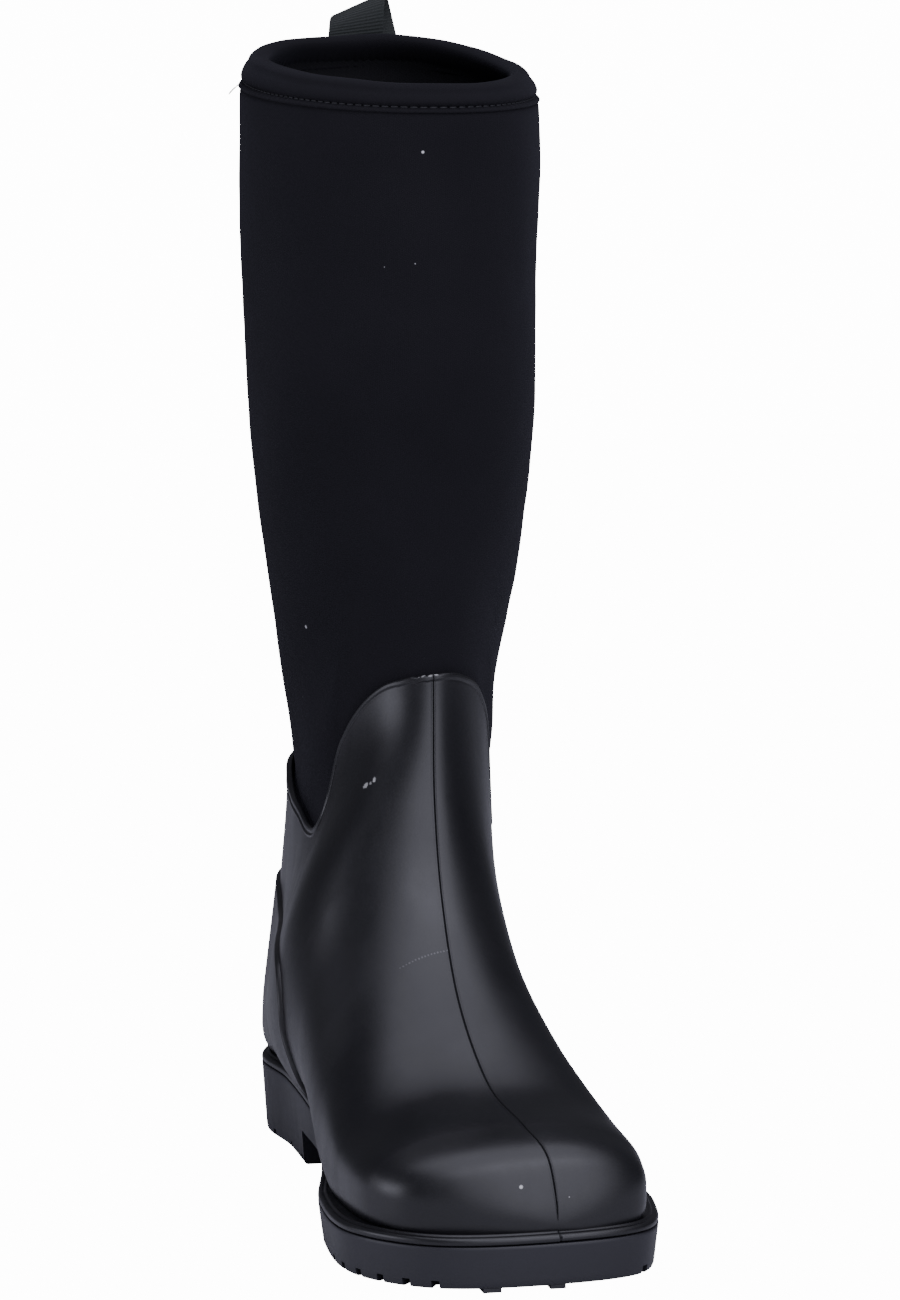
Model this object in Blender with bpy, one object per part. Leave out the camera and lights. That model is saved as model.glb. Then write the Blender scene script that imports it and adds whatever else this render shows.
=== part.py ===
"""Tall stable boot for the right foot: a neoprene leg on a moulded rubber foot, built up in layers.

Metres, +Z up, toe towards -Y, inner (medial) side towards +X, sole on z = 0. The lines plan below is
in millimetres, as on a last drawing, and every mesh point passes through place() on its way to metres.
"""

import math

import bmesh
import bpy
import numpy as np

MM = 0.001
# The middle of the whole boot's box on the lines plan, which becomes the origin.
PLAN_CENTRE = (-0.4, 6.5)

# Lines plan of the outer surface, toe to collar. Each row is one closed section in the plane through
# a back (or bottom) point and a front (or top) point:
# back y, back z, front y, front z, outer half width, inner half width, centre x
LINES_PLAN = np.array([
    (-137, 21, -137, 21, 0, 0, 11),
    (-130, 15, -131, 41, 38, 29, 9.5),
    (-113, 14.5, -114, 49, 50.5, 40, 5),
    (-81, 14, -85, 56, 50.5, 45, 0.5),
    (-45, 14, -57, 78, 47, 41.5, -3),
    (-9, 16.5, -32.5, 107.5, 47, 33.5, -3),
    (45, 21.5, -17.5, 139, 49, 30.5, -2),
    (131, 25, -8, 169, 37.8, 33, 0),
    (136.5, 56, -5, 195, 35.5, 33, 1),
    (129, 106, -5, 215, 35.2, 33, 1.5),
    (122, 162, -8.5, 245, 41, 41.5, 0.5),
    (126.5, 230, -15, 280, 47, 47.5, 0),
    (132.5, 300, -18.5, 320, 49, 48.5, 0),
    (135, 350, -20, 348.5, 50.5, 49.5, 1),
    (137, 388, -23, 375.8, 52, 46.5, 3),
], float)
COLLAR = len(LINES_PLAN) - 1
# How full each section is, against station number: height of the widest point as a share of the
# section, and the exponents of its rounding below and above (2 is an ellipse, 5 is nearly square).
WIDEST_AT = ((0, 0.5), (1, 0.46), (2, 0.43), (3, 0.385), (4, 0.35), (6, 0.37), (8, 0.45), (9, 0.5), (14, 0.5))
SQUARE_BELOW = ((0, 3.0), (1, 4.4), (2, 5.0), (4, 5.0), (6, 3.6), (8, 2.6), (10, 2.0), (14, 2.0))
# The outer side draws in more above the sole, between the ball of the foot and the heel.
WIDEST_AT_OUTER = (
    (0, 0.5), (1, 0.46), (2, 0.43), (3, 0.385), (4, 0.36), (4.5, 0.42), (5, 0.45), (5.5, 0.45),
    (6, 0.42), (6.6, 0.394), (8, 0.45), (9, 0.5), (14, 0.5),
)
SQUARE_BELOW_OUTER = (
    (0, 3.0), (1, 4.4), (2, 5.0), (3.4, 5.0), (3.8, 3.6), (4.2, 2.4), (4.6, 2.0), (5.4, 2.0), (6, 2.35),
    (6.3, 2.6), (6.5, 2.8), (6.7, 3.6), (6.9, 5.0), (7.2, 5.0), (8, 3.0), (10, 2.0), (14, 2.0),
)
SQUARE_ABOVE = ((0, 2.3), (2, 2.3), (5, 2.0), (14, 2.0))
# How much of a layer's inset runs backwards, and how much stays in the section, on the toe's stations.
NOSE_BACKWARDS = (1.0, 0.75, 0.3)
NOSE_IN_SECTION = (0.0, 0.7, 0.95)

# Sole outline seen from above, from the back of the heel round the outer side to the toe and back.
SOLE_OUTLINE = (
    (-0.5, 141), (-26, 135.5), (-38.5, 113), (-36.5, 80), (-37, 44), (-38, 9), (-45, -31),
    (-53, -68), (-51, -109), (-29, -134), (8.5, -139.5), (42, -131), (52, -101), (52, -63),
    (44, -28), (33, 8), (30, 45), (35, 80), (36, 112), (24, 135),
)
OUTLINE_POINTS = 72

# Columns round a section, in degrees from the middle of the back; closer together at the side dips.
HALF_COLUMNS = (15, 31, 47, 63, 78, 90, 100, 109, 117, 125, 136, 150, 165)
COLUMNS = (0,) + HALF_COLUMNS + (180,) + tuple(360 - a for a in reversed(HALF_COLUMNS))
# The rubber's top edge as (degrees, station): peak in front, a dip at each side, rising to the back.
TOP_EDGE = (
    (0, 9.6), (40, 9.4), (70, 8.85), (97, 7.74), (107, 7.2), (114, 7.0), (121, 7.2), (130, 7.6),
    (142, 7.68), (160, 7.54), (180, 7.41), (195, 7.46), (210, 7.58), (221, 7.6), (228, 7.55),
    (234, 7.4), (238, 7.08), (241, 6.94), (246, 6.92), (253, 7.18), (263, 7.74), (289, 8.75), (320, 9.4),
)
JOIN_BELOW_EDGE = 0.55  # stations from the rubber's edge down to the seam between sock and leg
FOOT_ROWS = (0.03, 0.07, 0.13, 0.20, 0.28, 0.37, 0.46, 0.55, 0.63, 0.70, 0.76, 0.82, 0.88, 0.94, 1.0)
LEG_STATIONS = (10.2, 10.8, 11.5, 12.3, 13.0, 13.5, 13.72, COLLAR)

# Layers, outside to inside, as insets from the lines plan
GAP = 0.35
SHELL = (0.0, 2.1)
STIFFENER = (2.45, 3.35)
SOCK = (3.7, 6.5)
NEOPRENE = (2.45, 6.75)
LINING = (7.1, 7.9)
COLLAR_LEAN = (13.72, 3.2)  # station where the collar starts to lean inwards, and by how much at its top
BINDING_STATION = 13.74
STITCH_STATION = 13.8
BINDING_THICKNESS = 1.2
NEOPRENE_TOP_INSET = BINDING_THICKNESS + GAP
COLLAR_ROLL = 3.0  # height that the binding's round top adds above the neoprene's edge

# Sole
RIM_TOE, RIM_HEEL = 15.5, 26.5
RIM_BAND = 3.4
EDGE_LIFT = 1.4  # the side wall stops this far above the ground, and the lugs reach it
SIDE_TAPER = 1.6
TREAD_DEPTH = 4.0
NOTCH = (2.7, 8.0)  # width, and reach inwards
NOTCH_PITCH = 10.5
HEEL_BREAST_Y = 51.0
# Rows of tread blocks as middle y, depth and number of blocks
LUG_ROWS = tuple((y, 12.5, 4) for y in range(-118, -20, 15)) + (
    (60.0, 13.0, 3), (78.0, 13.0, 3), (95.5, 13.0, 3), (113.0, 12.0, 3), (126.0, 9.0, 1),
)
WAIST_PROFILE = ((-12, -1), (-2, 2.2), (10, 5.6), (22, 8.6), (34, 10.4), (46, 11.2))
WAIST_EDGE_PROFILE = ((1, -1), (4, 6.5), (9, 11.2), (17, 13.2), (30, 13.8))
WAIST_EDGES = ((-70.0, -27.0), (23.5, 70.0))
TOE_LUGS = ((-13.4, -7.5), (8.5, 13.5))
TOE_LUG_Y = (-136.5, -124.6)
# Top of the insole board, under the shell, as (y, z)
BED = ((-140, 13.2), (-81, 13.2), (-45, 13.2), (-9, 15.4), (15, 17.6), (45, 20.2), (91, 20.6), (131, 23.6), (141, 24))
BOARD_THICKNESS = 1.8
MIDSOLE_THICKNESS = 3.0
POCKET_INSET = 13.0
HEEL_POCKET = ((0.0, 113.0), (19.0, 15.0))  # centre, half sizes
SHANK = (15.0, 1.5, -14.0, 76.0)  # width, thickness, front y, back y

# Footbed, a loose insole
FOOTBED_THICKNESS = 5.0
COVER_THICKNESS = 1.0
FOOTBED_Y = (-108.0, 92.0)

# Pull loop at the back of the collar
WEBBING = (20.0, 1.3)
LOOP_CENTRE_X = 4.7
LOOP_BASE = (136.4, 384.6)
LOOP_HEIGHTS = (12.0, 20.5)  # outer edge, inner edge
LOOP_BULGE = (8.5, 9.5)
LOOP_SKEW = 4.5
ANCHOR_DEPTH = 17.0
ANCHOR_OFF = 1.4
COLLAR_BACK_RADIUS = 78.0


def smooth_through(knots, at, period=None):
    """Cubic through (position, value) knots, evaluated at `at`; with a period it closes on itself."""
    x = np.array([k[0] for k in knots], float)
    y = np.array([k[1] for k in knots], float)
    at = np.asarray(at, float)
    if period:
        x = np.concatenate([x[-2:] - period, x, x[:2] + period])
        y = np.concatenate([y[-2:], y, y[:2]])
        at = np.mod(at - x[2], period) + x[2]
    slope = np.gradient(y, x)
    i = np.clip(np.searchsorted(x, at, side="right") - 1, 0, len(x) - 2)
    h = x[i + 1] - x[i]
    t = np.clip((at - x[i]) / h, 0.0, 1.0)
    return (
        y[i] * (1 + 2 * t) * (1 - t) ** 2
        + h * slope[i] * t * (1 - t) ** 2
        + y[i + 1] * t * t * (3 - 2 * t)
        + h * slope[i + 1] * t * t * (t - 1)
    )


def smooth_step(t):
    t = np.clip(t, 0.0, 1.0)
    return t * t * (3 - 2 * t)


def inset_plan(inset):
    """The lines plan with every section drawn in by `inset`."""
    plan = LINES_PLAN.copy()
    for n, row in enumerate(plan):
        across = row[2:4] - row[0:2]
        length = np.linalg.norm(across)
        share = NOSE_IN_SECTION[n] if n < len(NOSE_IN_SECTION) else 1.0
        if length > 0:
            row[0:2] += across / length * inset * share
            row[2:4] -= across / length * inset * share
            row[4:6] -= inset * share
        if n < len(NOSE_BACKWARDS):
            row[[0, 2]] += inset * NOSE_BACKWARDS[n]
    return plan


def section_at(plan, station):
    """The section's seven numbers at a station, on a Catmull-Rom curve that turns back at the nose."""
    nose = plan[1][[2, 3, 0, 1, 4, 5, 6]] * np.array([1, 1, 1, 1, -1, -1, 1])
    rows = np.vstack([nose, plan, 2 * plan[-1] - plan[-2]])
    i = int(np.clip(math.floor(station), 0, COLLAR - 1))
    t = station - i
    a, b, c, d = rows[i : i + 4]
    return 0.5 * (2 * b + (c - a) * t + (2 * a - 5 * b + 4 * c - d) * t**2 + (3 * b - a - 3 * c + d) * t**3)


def skin_point(plan, station, degrees):
    """A point on a layer's surface: 0 degrees is the back or bottom, 90 the inner side, 180 the front."""
    back_y, back_z, front_y, front_z, outer, inner, centre = section_at(plan, station)
    on_outer = degrees > 180
    widest = np.interp(station, *zip(*(WIDEST_AT_OUTER if on_outer else WIDEST_AT)))
    up = (1 - math.cos(math.radians(degrees))) / 2
    if up < widest:
        power = np.interp(station, *zip(*(SQUARE_BELOW_OUTER if on_outer else SQUARE_BELOW)))
        share = (widest - up) / widest
    else:
        power = np.interp(station, *zip(*SQUARE_ABOVE))
        share = (up - widest) / (1 - widest)
    spread = max(0.0, 1 - share**power) ** (1 / power)
    half = -outer if on_outer else inner
    return np.array([
        centre + half * spread,
        back_y + up * (front_y - back_y),
        back_z + up * (front_z - back_z),
    ])


def edge_station(degrees):
    return float(smooth_through(TOP_EDGE, degrees, 360))


def join_station(degrees):
    return edge_station(degrees) - JOIN_BELOW_EDGE


def collar_lean(station):
    start, most = COLLAR_LEAN
    return most * min(1.0, max(0.0, (station - start) / (COLLAR - start)))


def neoprene_inset(layer_inset, station, degrees):
    """Above the rubber's edge the leg fills out to the lines plan, and it thins under the binding."""
    risen = smooth_step((station - edge_station(degrees)) / 1.3)
    bound = smooth_step((station - BINDING_STATION + 0.45) / 0.4)
    return layer_inset - NEOPRENE[0] * risen + NEOPRENE_TOP_INSET * bound + collar_lean(station)


def place(point):
    return (
        (point[0] - PLAN_CENTRE[0]) * MM,
        (point[1] - PLAN_CENTRE[1]) * MM,
        point[2] * MM,
    )


def closed_outline(inset=0.0, count=OUTLINE_POINTS):
    """The sole outline as evenly spaced points, drawn in by `inset` along its normals."""
    knots = np.array(SOLE_OUTLINE, float)
    span = np.sqrt(np.linalg.norm(np.roll(knots, -1, 0) - knots, axis=1))
    at = np.concatenate([[0], np.cumsum(span)])
    fine = np.linspace(0, at[-1], 1440, endpoint=False)
    x = smooth_through(list(zip(at[:-1], knots[:, 0])), fine, at[-1])
    y = smooth_through(list(zip(at[:-1], knots[:, 1])), fine, at[-1])
    curve = np.stack([x, y], 1)
    step = np.linalg.norm(np.roll(curve, -1, 0) - curve, axis=1)
    along = np.concatenate([[0], np.cumsum(step)])
    wanted = np.linspace(0, along[-1], count, endpoint=False)
    looped = np.vstack([curve, curve[:1]])
    points = np.stack([np.interp(wanted, along, looped[:, k]) for k in (0, 1)], 1)
    ahead = np.roll(points, -1, 0) - np.roll(points, 1, 0)
    ahead /= np.linalg.norm(ahead, axis=1)[:, None]
    # The outline runs clockwise from above, so inwards is to the right of the way ahead.
    inwards = np.stack([-ahead[:, 1], ahead[:, 0]], 1)
    return points + inwards * inset


def rim_height(y):
    return RIM_TOE + (RIM_HEEL - RIM_TOE) * smooth_step((np.asarray(y, float) + 60) / 110)


def bed_height(y):
    return smooth_through(BED, y)


def material_for(name, colour, roughness, metallic=0.0):
    material = bpy.data.materials.new(name)
    material.use_nodes = True
    shader = material.node_tree.nodes["Principled BSDF"]
    shader.inputs["Base Color"].default_value = (*colour, 1.0)
    shader.inputs["Roughness"].default_value = roughness
    shader.inputs["Metallic"].default_value = metallic
    return material


def add_object(name, points, faces, material=None):
    """A mesh object from plan points, turned to face outwards; without a material it is a cutter."""
    mesh = bpy.data.meshes.new(name)
    mesh.from_pydata([place(p) for p in points], [], faces)
    shape = bmesh.new()
    shape.from_mesh(mesh)
    bmesh.ops.recalc_face_normals(shape, faces=shape.faces)
    shape.to_mesh(mesh)
    shape.free()
    obj = bpy.data.objects.new(name, mesh)
    bpy.context.scene.collection.objects.link(obj)
    if material:
        mesh.materials.append(material)
        mesh.shade_smooth()
        mesh.set_sharp_from_angle(angle=math.radians(40))
    else:
        obj.hide_render = True
        obj.display_type = "WIRE"
    return obj


def combine(obj, other, operation):
    step = obj.modifiers.new(other.name, "BOOLEAN")
    step.operation = operation
    step.object = other


def ring_faces(rings, count, closed_ends):
    """Triangles between rings of `count` points each; closed_ends fans both ends to points after them."""
    faces = []
    for r in range(rings - 1):
        for c in range(count):
            a, b = r * count + c, r * count + (c + 1) % count
            faces += [(a, b, b + count), (a, b + count, a + count)]
    if closed_ends:
        first, last = rings * count, rings * count + 1
        top = (rings - 1) * count
        for c in range(count):
            faces.append((first, (c + 1) % count, c))
            faces.append((last, top + c, top + (c + 1) % count))
    return faces


def add_walled(name, outside, inside, material, poles=None):
    """A wall between two stacks of rings, joined at the top and, unless poles close it, at the bottom."""
    rings, count = len(outside), len(outside[0])
    points = [p for ring in outside + inside for p in ring]
    faces = ring_faces(rings, count, False)
    shift = rings * count
    faces += [(a + shift, c + shift, b + shift) for a, b, c in ring_faces(rings, count, False)]
    ends = [rings - 1] if poles else [0, rings - 1]
    for ring in ends:
        for c in range(count):
            a, b = ring * count + c, ring * count + (c + 1) % count
            faces += [(a, b, b + shift), (a, b + shift, a + shift)]
    if poles:
        points += poles
        for c in range(count):
            faces.append((2 * shift, (c + 1) % count, c))
            faces.append((2 * shift + 1, shift + c, shift + (c + 1) % count))
    return add_object(name, points, faces, material)


def add_patch(name, outside, inside, material):
    """A closed slab between two equal grids of points."""
    rows, count = len(outside), len(outside[0])
    points = [p for row in outside + inside for p in row]
    shift = rows * count
    faces = []
    for r in range(rows - 1):
        for c in range(count - 1):
            a = r * count + c
            faces += [(a, a + 1, a + count + 1), (a, a + count + 1, a + count)]
            faces += [(a + shift, a + shift + count + 1, a + shift + 1)]
            faces += [(a + shift, a + shift + count, a + shift + count + 1)]
    border = [r * count for r in range(rows)] + [(rows - 1) * count + c for c in range(1, count)]
    border += [r * count + count - 1 for r in range(rows - 2, -1, -1)] + list(range(count - 2, 0, -1))
    for a, b in zip(border, border[1:] + border[:1]):
        faces += [(a, b, b + shift), (a, b + shift, a + shift)]
    return add_object(name, points, faces, material)


def zip_cap(outline):
    """Triangles across an outline from side to side, heel to toe, so that a cap can bend along y."""
    count = len(outline)
    y = outline[:, 1]
    heel, toe = int(np.argmax(y)), int(np.argmin(y))
    one, other, faces = heel, heel, []
    while one != toe or other != toe:
        next_one, next_other = (one + 1) % count, (other - 1) % count
        if other == toe or (one != toe and y[next_one] >= y[next_other]):
            corner = next_one
            one_after, other_after = next_one, other
        else:
            corner = next_other
            one_after, other_after = one, next_other
        if len({one, other, corner}) == 3:
            faces.append((one, other, corner))
        one, other = one_after, other_after
    return faces


def add_prism(name, outline, bottom, top, material=None, bottom_outline=None):
    """An outline between two heights, each a number or a function of y."""
    low, high = (h if callable(h) else (lambda y, h=h: np.full(len(y), h)) for h in (bottom, top))
    under = outline if bottom_outline is None else bottom_outline
    rings = [np.column_stack([under, low(under[:, 1])]), np.column_stack([outline, high(outline[:, 1])])]
    count = len(outline)
    sides = ring_faces(2, count, False)
    caps = zip_cap(outline)
    caps += [tuple(corner + count for corner in face) for face in caps]
    return add_object(name, [p for ring in rings for p in ring], sides + caps, material)


def foot_rings(inset, to_edge):
    """Rings of a layer from the toe to the sock's seam, and on to the rubber's edge if to_edge."""
    plan = inset_plan(inset)
    rings = [[skin_point(plan, s * join_station(d), d) for d in COLUMNS] for s in FOOT_ROWS]
    if to_edge:
        for share in (0.5, 1.0):
            at = [join_station(d) + share * JOIN_BELOW_EDGE for d in COLUMNS]
            rings.append([skin_point(plan, s, d) for s, d in zip(at, COLUMNS)])
    return rings


def nose_point(inset):
    return skin_point(inset_plan(inset), 0.0, 0.0)


def leg_station(row, degrees):
    """Rows of the leg: two under the rubber, one at its edge, then easing to level rows."""
    edge = edge_station(degrees)
    if row < 0:
        return edge + row * JOIN_BELOW_EDGE
    lift = LEG_STATIONS[0] - edge
    if row < 3:
        return edge + lift * row / 3
    return LEG_STATIONS[row - 3]


LEG_ROWS = (-0.94, -0.5, 0, 1, 2) + tuple(3 + n for n in range(len(LEG_STATIONS)))


def leg_rings(inset):
    rings = []
    for row in LEG_ROWS:
        ring = []
        for d in COLUMNS:
            station = leg_station(row, d)
            ring.append(skin_point(inset_plan(neoprene_inset(inset, station, d)), station, d))
        rings.append(ring)
    return rings


def build_outsole(material):
    """Side wall and tread: an outline body, hollowed for the foot and the inner sole pieces."""
    side = closed_outline()
    low = closed_outline(SIDE_TAPER)
    outsole = add_prism("outsole", side, EDGE_LIFT, rim_height, material, bottom_outline=low)
    foot = foot_rings(-GAP - 0.05, False)[:12]
    middle = np.mean(foot[-1], axis=0)
    points = [p for ring in foot for p in ring] + [nose_point(-GAP - 0.05), middle]
    combine(outsole, add_object("foot_space", points, ring_faces(len(foot), len(COLUMNS), True)), "DIFFERENCE")
    pocket = closed_outline(POCKET_INSET)
    combine(outsole, add_prism("pocket_space", pocket, pocket_floor, lambda y: bed_height(y) + 5), "DIFFERENCE")
    centre, half = HEEL_POCKET
    combine(
        outsole,
        add_prism("filler_space", rounded_block(centre, half), 6.0, lambda y: pocket_floor(y) + 2),
        "DIFFERENCE",
    )
    combine(outsole, build_waist_space(), "DIFFERENCE")
    for left, right in WAIST_EDGES:
        combine(outsole, build_waist_edge(left, right), "DIFFERENCE")
    combine(outsole, build_tread_space(), "DIFFERENCE")
    combine(outsole, build_notches(), "DIFFERENCE")
    combine(outsole, build_lugs(), "UNION")


def pocket_floor(y):
    return bed_height(y) - BOARD_THICKNESS - MIDSOLE_THICKNESS - 3 * GAP


def midsole_top(y):
    return bed_height(y) - BOARD_THICKNESS - GAP


def rounded_block(centre, half, shrink=0.0, count=20):
    """A superellipse outline with corners like a moulded block's."""
    points = []
    for n in range(count):
        a = 2 * math.pi * n / count
        x, y = math.cos(a), math.sin(a)
        points.append((
            centre[0] + (half[0] - shrink) * math.copysign(abs(x) ** 0.6, x),
            centre[1] + (half[1] - shrink) * math.copysign(abs(y) ** 0.6, y),
        ))
    return np.array(points)


def build_waist_space():
    """The arch in front of the heel, cut right across the sole."""
    profile = list(WAIST_PROFILE) + [(HEEL_BREAST_Y, WAIST_PROFILE[-1][1]), (HEEL_BREAST_Y, -1)]
    points = [(x, y, z) for x in (-70, 70) for y, z in profile]
    count = len(profile)
    faces = ring_faces(2, count, False) + [tuple(range(count)), tuple(range(count, 2 * count))]
    return add_object("waist_space", points, faces)


def build_waist_edge(left, right):
    """The arch is hollowed higher along each side, outside the inner sole pieces."""
    profile = list(WAIST_EDGE_PROFILE) + [(HEEL_BREAST_Y, WAIST_EDGE_PROFILE[-1][1]), (HEEL_BREAST_Y, -1)]
    points = [(x, y, z) for x in (left, right) for y, z in profile]
    count = len(profile)
    faces = ring_faces(2, count, False) + [tuple(range(count)), tuple(range(count, 2 * count))]
    return add_object("waist_edge", points, faces)


def build_tread_space():
    """The recessed field inside the edge wall, where the lugs stand."""
    field = closed_outline(9.0)
    return add_prism("tread_space", field, -1.0, TREAD_DEPTH)


def build_notches():
    """Slots through the bottom edge wall, square to the outline, apart from the toe tip and the waist."""
    width, reach = NOTCH
    fine = closed_outline(count=720)
    length = np.linalg.norm(np.roll(fine, -1, 0) - fine, axis=1).sum()
    count = int(length / NOTCH_PITCH)
    points, faces = [], []
    for n in range(count):
        i = int(720 * (n + 0.5) / count)
        ahead = fine[(i + 1) % 720] - fine[i - 1]
        ahead /= np.linalg.norm(ahead)
        inwards = np.array([-ahead[1], ahead[0]])
        x, y = fine[i]
        on_heel = y > HEEL_BREAST_Y
        if -14 < y < HEEL_BREAST_Y + 4 or (y < -128 and -22 < x < 36) or (on_heel and n % 2 == 1):
            continue
        first = len(points)
        for z in (-1.0, TREAD_DEPTH + 0.2):
            for side, depth in ((-1, -3.0), (1, -3.0), (1, reach + 2), (-1, reach + 2)):
                spot = fine[i] + ahead * side * width / 2 + inwards * depth
                points.append((*spot, z))
        faces += [tuple(first + k for k in face) for face in (
            (0, 1, 2, 3), (4, 5, 6, 7), (0, 1, 5, 4), (1, 2, 6, 5), (2, 3, 7, 6), (3, 0, 4, 7),
        )]
    return add_object("notches", points, faces)


def build_lugs():
    """Tread blocks in rows across the forefoot and the heel, standing on the ground."""
    points, faces = [], []
    inner = closed_outline(8.0, 720)
    for y, depth, blocks in LUG_ROWS:
        band = inner[np.abs(inner[:, 1] - y) < depth / 2 + 1]
        left = band[band[:, 0] < 0][:, 0].max()
        right = band[band[:, 0] > 0][:, 0].min()
        pitch = (right - left) / blocks
        for n in range(blocks):
            x0, x1 = left + n * pitch + 1.6, left + (n + 1) * pitch - 1.6
            first = len(points)
            for z, taper in ((0.0, 0.7), (TREAD_DEPTH + 1.0, 0.0)):
                y0, y1 = y - depth / 2 + 1.5, y + depth / 2 - 1.5
                points += [(x0 + taper, y0 + taper, z), (x1 - taper, y0 + taper, z)]
                points += [(x1 - taper, y1 - taper, z), (x0 + taper, y1 - taper, z)]
            faces += [tuple(first + k for k in face) for face in (
                (0, 1, 2, 3), (4, 5, 6, 7), (0, 1, 5, 4), (1, 2, 6, 5), (2, 3, 7, 6), (3, 0, 4, 7),
            )]
    front, back = TOE_LUG_Y
    for left, right in TOE_LUGS:
        first = len(points)
        points += [(x, y, z) for z in (0.0, TREAD_DEPTH + 1.0) for x, y in (
            (left, front), (right, front), (right, back), (left, back),
        )]
        faces += [tuple(first + k for k in face) for face in (
            (0, 1, 2, 3), (4, 5, 6, 7), (0, 1, 5, 4), (1, 2, 6, 5), (2, 3, 7, 6), (3, 0, 4, 7),
        )]
    return add_object("lugs", points, faces)


def build_inner_sole(filler, foam, steel, board):
    centre, half = HEEL_POCKET
    add_prism("heel_filler", rounded_block(centre, half, GAP), 6.0 + GAP, pocket_floor, filler)
    outline = closed_outline(POCKET_INSET + GAP + 0.1)
    midsole = add_prism("midsole", outline, lambda y: pocket_floor(y) + GAP, midsole_top, foam)
    width, thick, front, back = SHANK
    strip = strip_outline(width / 2, front, back)
    slot = strip_outline(width / 2 + 0.5, front - 0.5, back + 0.5)
    add_prism("shank", strip, lambda y: midsole_top(y) - thick - 0.1, lambda y: midsole_top(y) - 0.1, steel)
    cutter = add_prism("shank_slot", slot, lambda y: midsole_top(y) - thick - 0.5, lambda y: midsole_top(y) + 2)
    combine(midsole, cutter, "DIFFERENCE")
    add_prism("insole_board", outline, lambda y: bed_height(y) - BOARD_THICKNESS, bed_height, board)


def strip_outline(half_width, front, back):
    ys = np.linspace(front, back, 10)
    left = [(-half_width - 2, y) for y in ys]
    right = [(half_width - 2, y) for y in reversed(ys)]
    return np.array(left + right)


def build_shell(material):
    """Moulded rubber foot, with a flange that lies on the outsole all the way round."""
    outside, inside = (foot_rings(inset, True) for inset in SHELL)
    shell = add_walled("rubber_shell", outside, inside, material, [nose_point(SHELL[0]), nose_point(SHELL[1])])
    outline = closed_outline(0.3)
    flange = add_prism(
        "flange", closed_outline(1.4), lambda y: rim_height(y) + GAP, lambda y: rim_height(y) + RIM_BAND,
        bottom_outline=outline,
    )
    middle_of_wall = (SHELL[0] + SHELL[1]) / 2
    foot = foot_rings(middle_of_wall, False)[:12]
    points = [p for ring in foot for p in ring] + [nose_point(middle_of_wall), np.mean(foot[-1], axis=0)]
    combine(flange, add_object("flange_hole", points, ring_faces(len(foot), len(COLUMNS), True)), "DIFFERENCE")
    combine(shell, flange, "UNION")


def grid_part(inset, rows, columns):
    """Part of the foot grid: a slice of FOOT_ROWS by column numbers, which may run past the back."""
    rings = foot_rings(inset, False)
    return [[rings[r][c % len(COLUMNS)] for c in columns] for r in rows]


def build_stiffeners(toe_material, heel_material):
    middle = COLUMNS.index(180)
    toe = range(middle - 9, middle + 10)
    heel = range(-5, 6)
    for name, rows, columns, material in (
        ("toe_stiffener", range(1, 6), toe, toe_material),
        ("heel_stiffener", range(9, 14), heel, heel_material),
    ):
        add_patch(name, *(grid_part(i, rows, columns) for i in STIFFENER), material)


def build_heel_guard(material):
    """Raised rubber panel round the heel, from the flange up to a sloping front and top edge."""
    low = (
        (-1.0, 5.38, 38), (-0.87, 5.71, 37), (-0.74, 6.0, 36), (-0.6, 6.24, 34), (-0.44, 6.47, 34),
        (-0.28, 6.71, 32), (-0.2, 6.85, 31), (-0.12, 6.99, 27), (-0.05, 7.15, 21),
    )
    high = (
        (-1.0, 5.34, 47), (-0.93, 5.31, 56), (-0.87, 5.32, 65), (-0.8, 5.4, 72), (-0.74, 5.5, 78),
        (-0.67, 5.59, 86), (-0.6, 5.8, 92), (-0.52, 6.16, 92), (-0.44, 6.7, 86), (-0.36, 7.2, 79),
        (-0.28, 7.7, 71), (-0.2, 8.2, 58), (-0.12, 8.58, 39), (-0.05, 8.81, 16),
    )
    middle = (0.0, 7.32, 0.0), (0.0, 8.85, 0.0)
    half = (0.02, 0.045, 0.07, 0.1, 0.14, 0.19, 0.24, 0.3, 0.36, 0.42, 0.48, 0.55, 0.62, 0.7, 0.78, 0.86, 0.93, 1.0)
    shares = [-t for t in reversed(half)] + [0.0] + list(half)
    grids = []
    for lift in (-2.2, -1.2):
        plan = inset_plan(lift)
        rows = []
        for h in (0.0, 0.12, 0.25, 0.4, 0.55, 0.7, 0.85, 1.0):
            row = []
            for t in shares:
                ends = []
                for side, centre in zip((low, high), middle):
                    stations = [(k[0], k[1]) for k in side] + [centre[:2]]
                    angles = [(k[0], k[2]) for k in side] + [(0.0, centre[2])]
                    ends.append((smooth_through(stations, -abs(t)), smooth_through(angles, -abs(t))))
                station = float(ends[0][0] + h * (ends[1][0] - ends[0][0]))
                angle = float(ends[0][1] + h * (ends[1][1] - ends[0][1]))
                row.append(skin_point(plan, station, angle if t >= 0 else (360 - angle) % 360))
            rows.append(row)
        grids.append(rows)
    add_patch("heel_guard", *grids, material)


def build_bootie(sock, neoprene, lining):
    outside, inside = (foot_rings(inset, False) for inset in SOCK)
    add_walled("foot_sock", outside, inside, sock, [nose_point(i) for i in SOCK])
    add_walled("neoprene_leg", leg_rings(NEOPRENE[0]), leg_rings(NEOPRENE[1]), neoprene)
    add_walled("leg_lining", leg_rings(LINING[0]), leg_rings(LINING[1]), lining)


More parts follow.
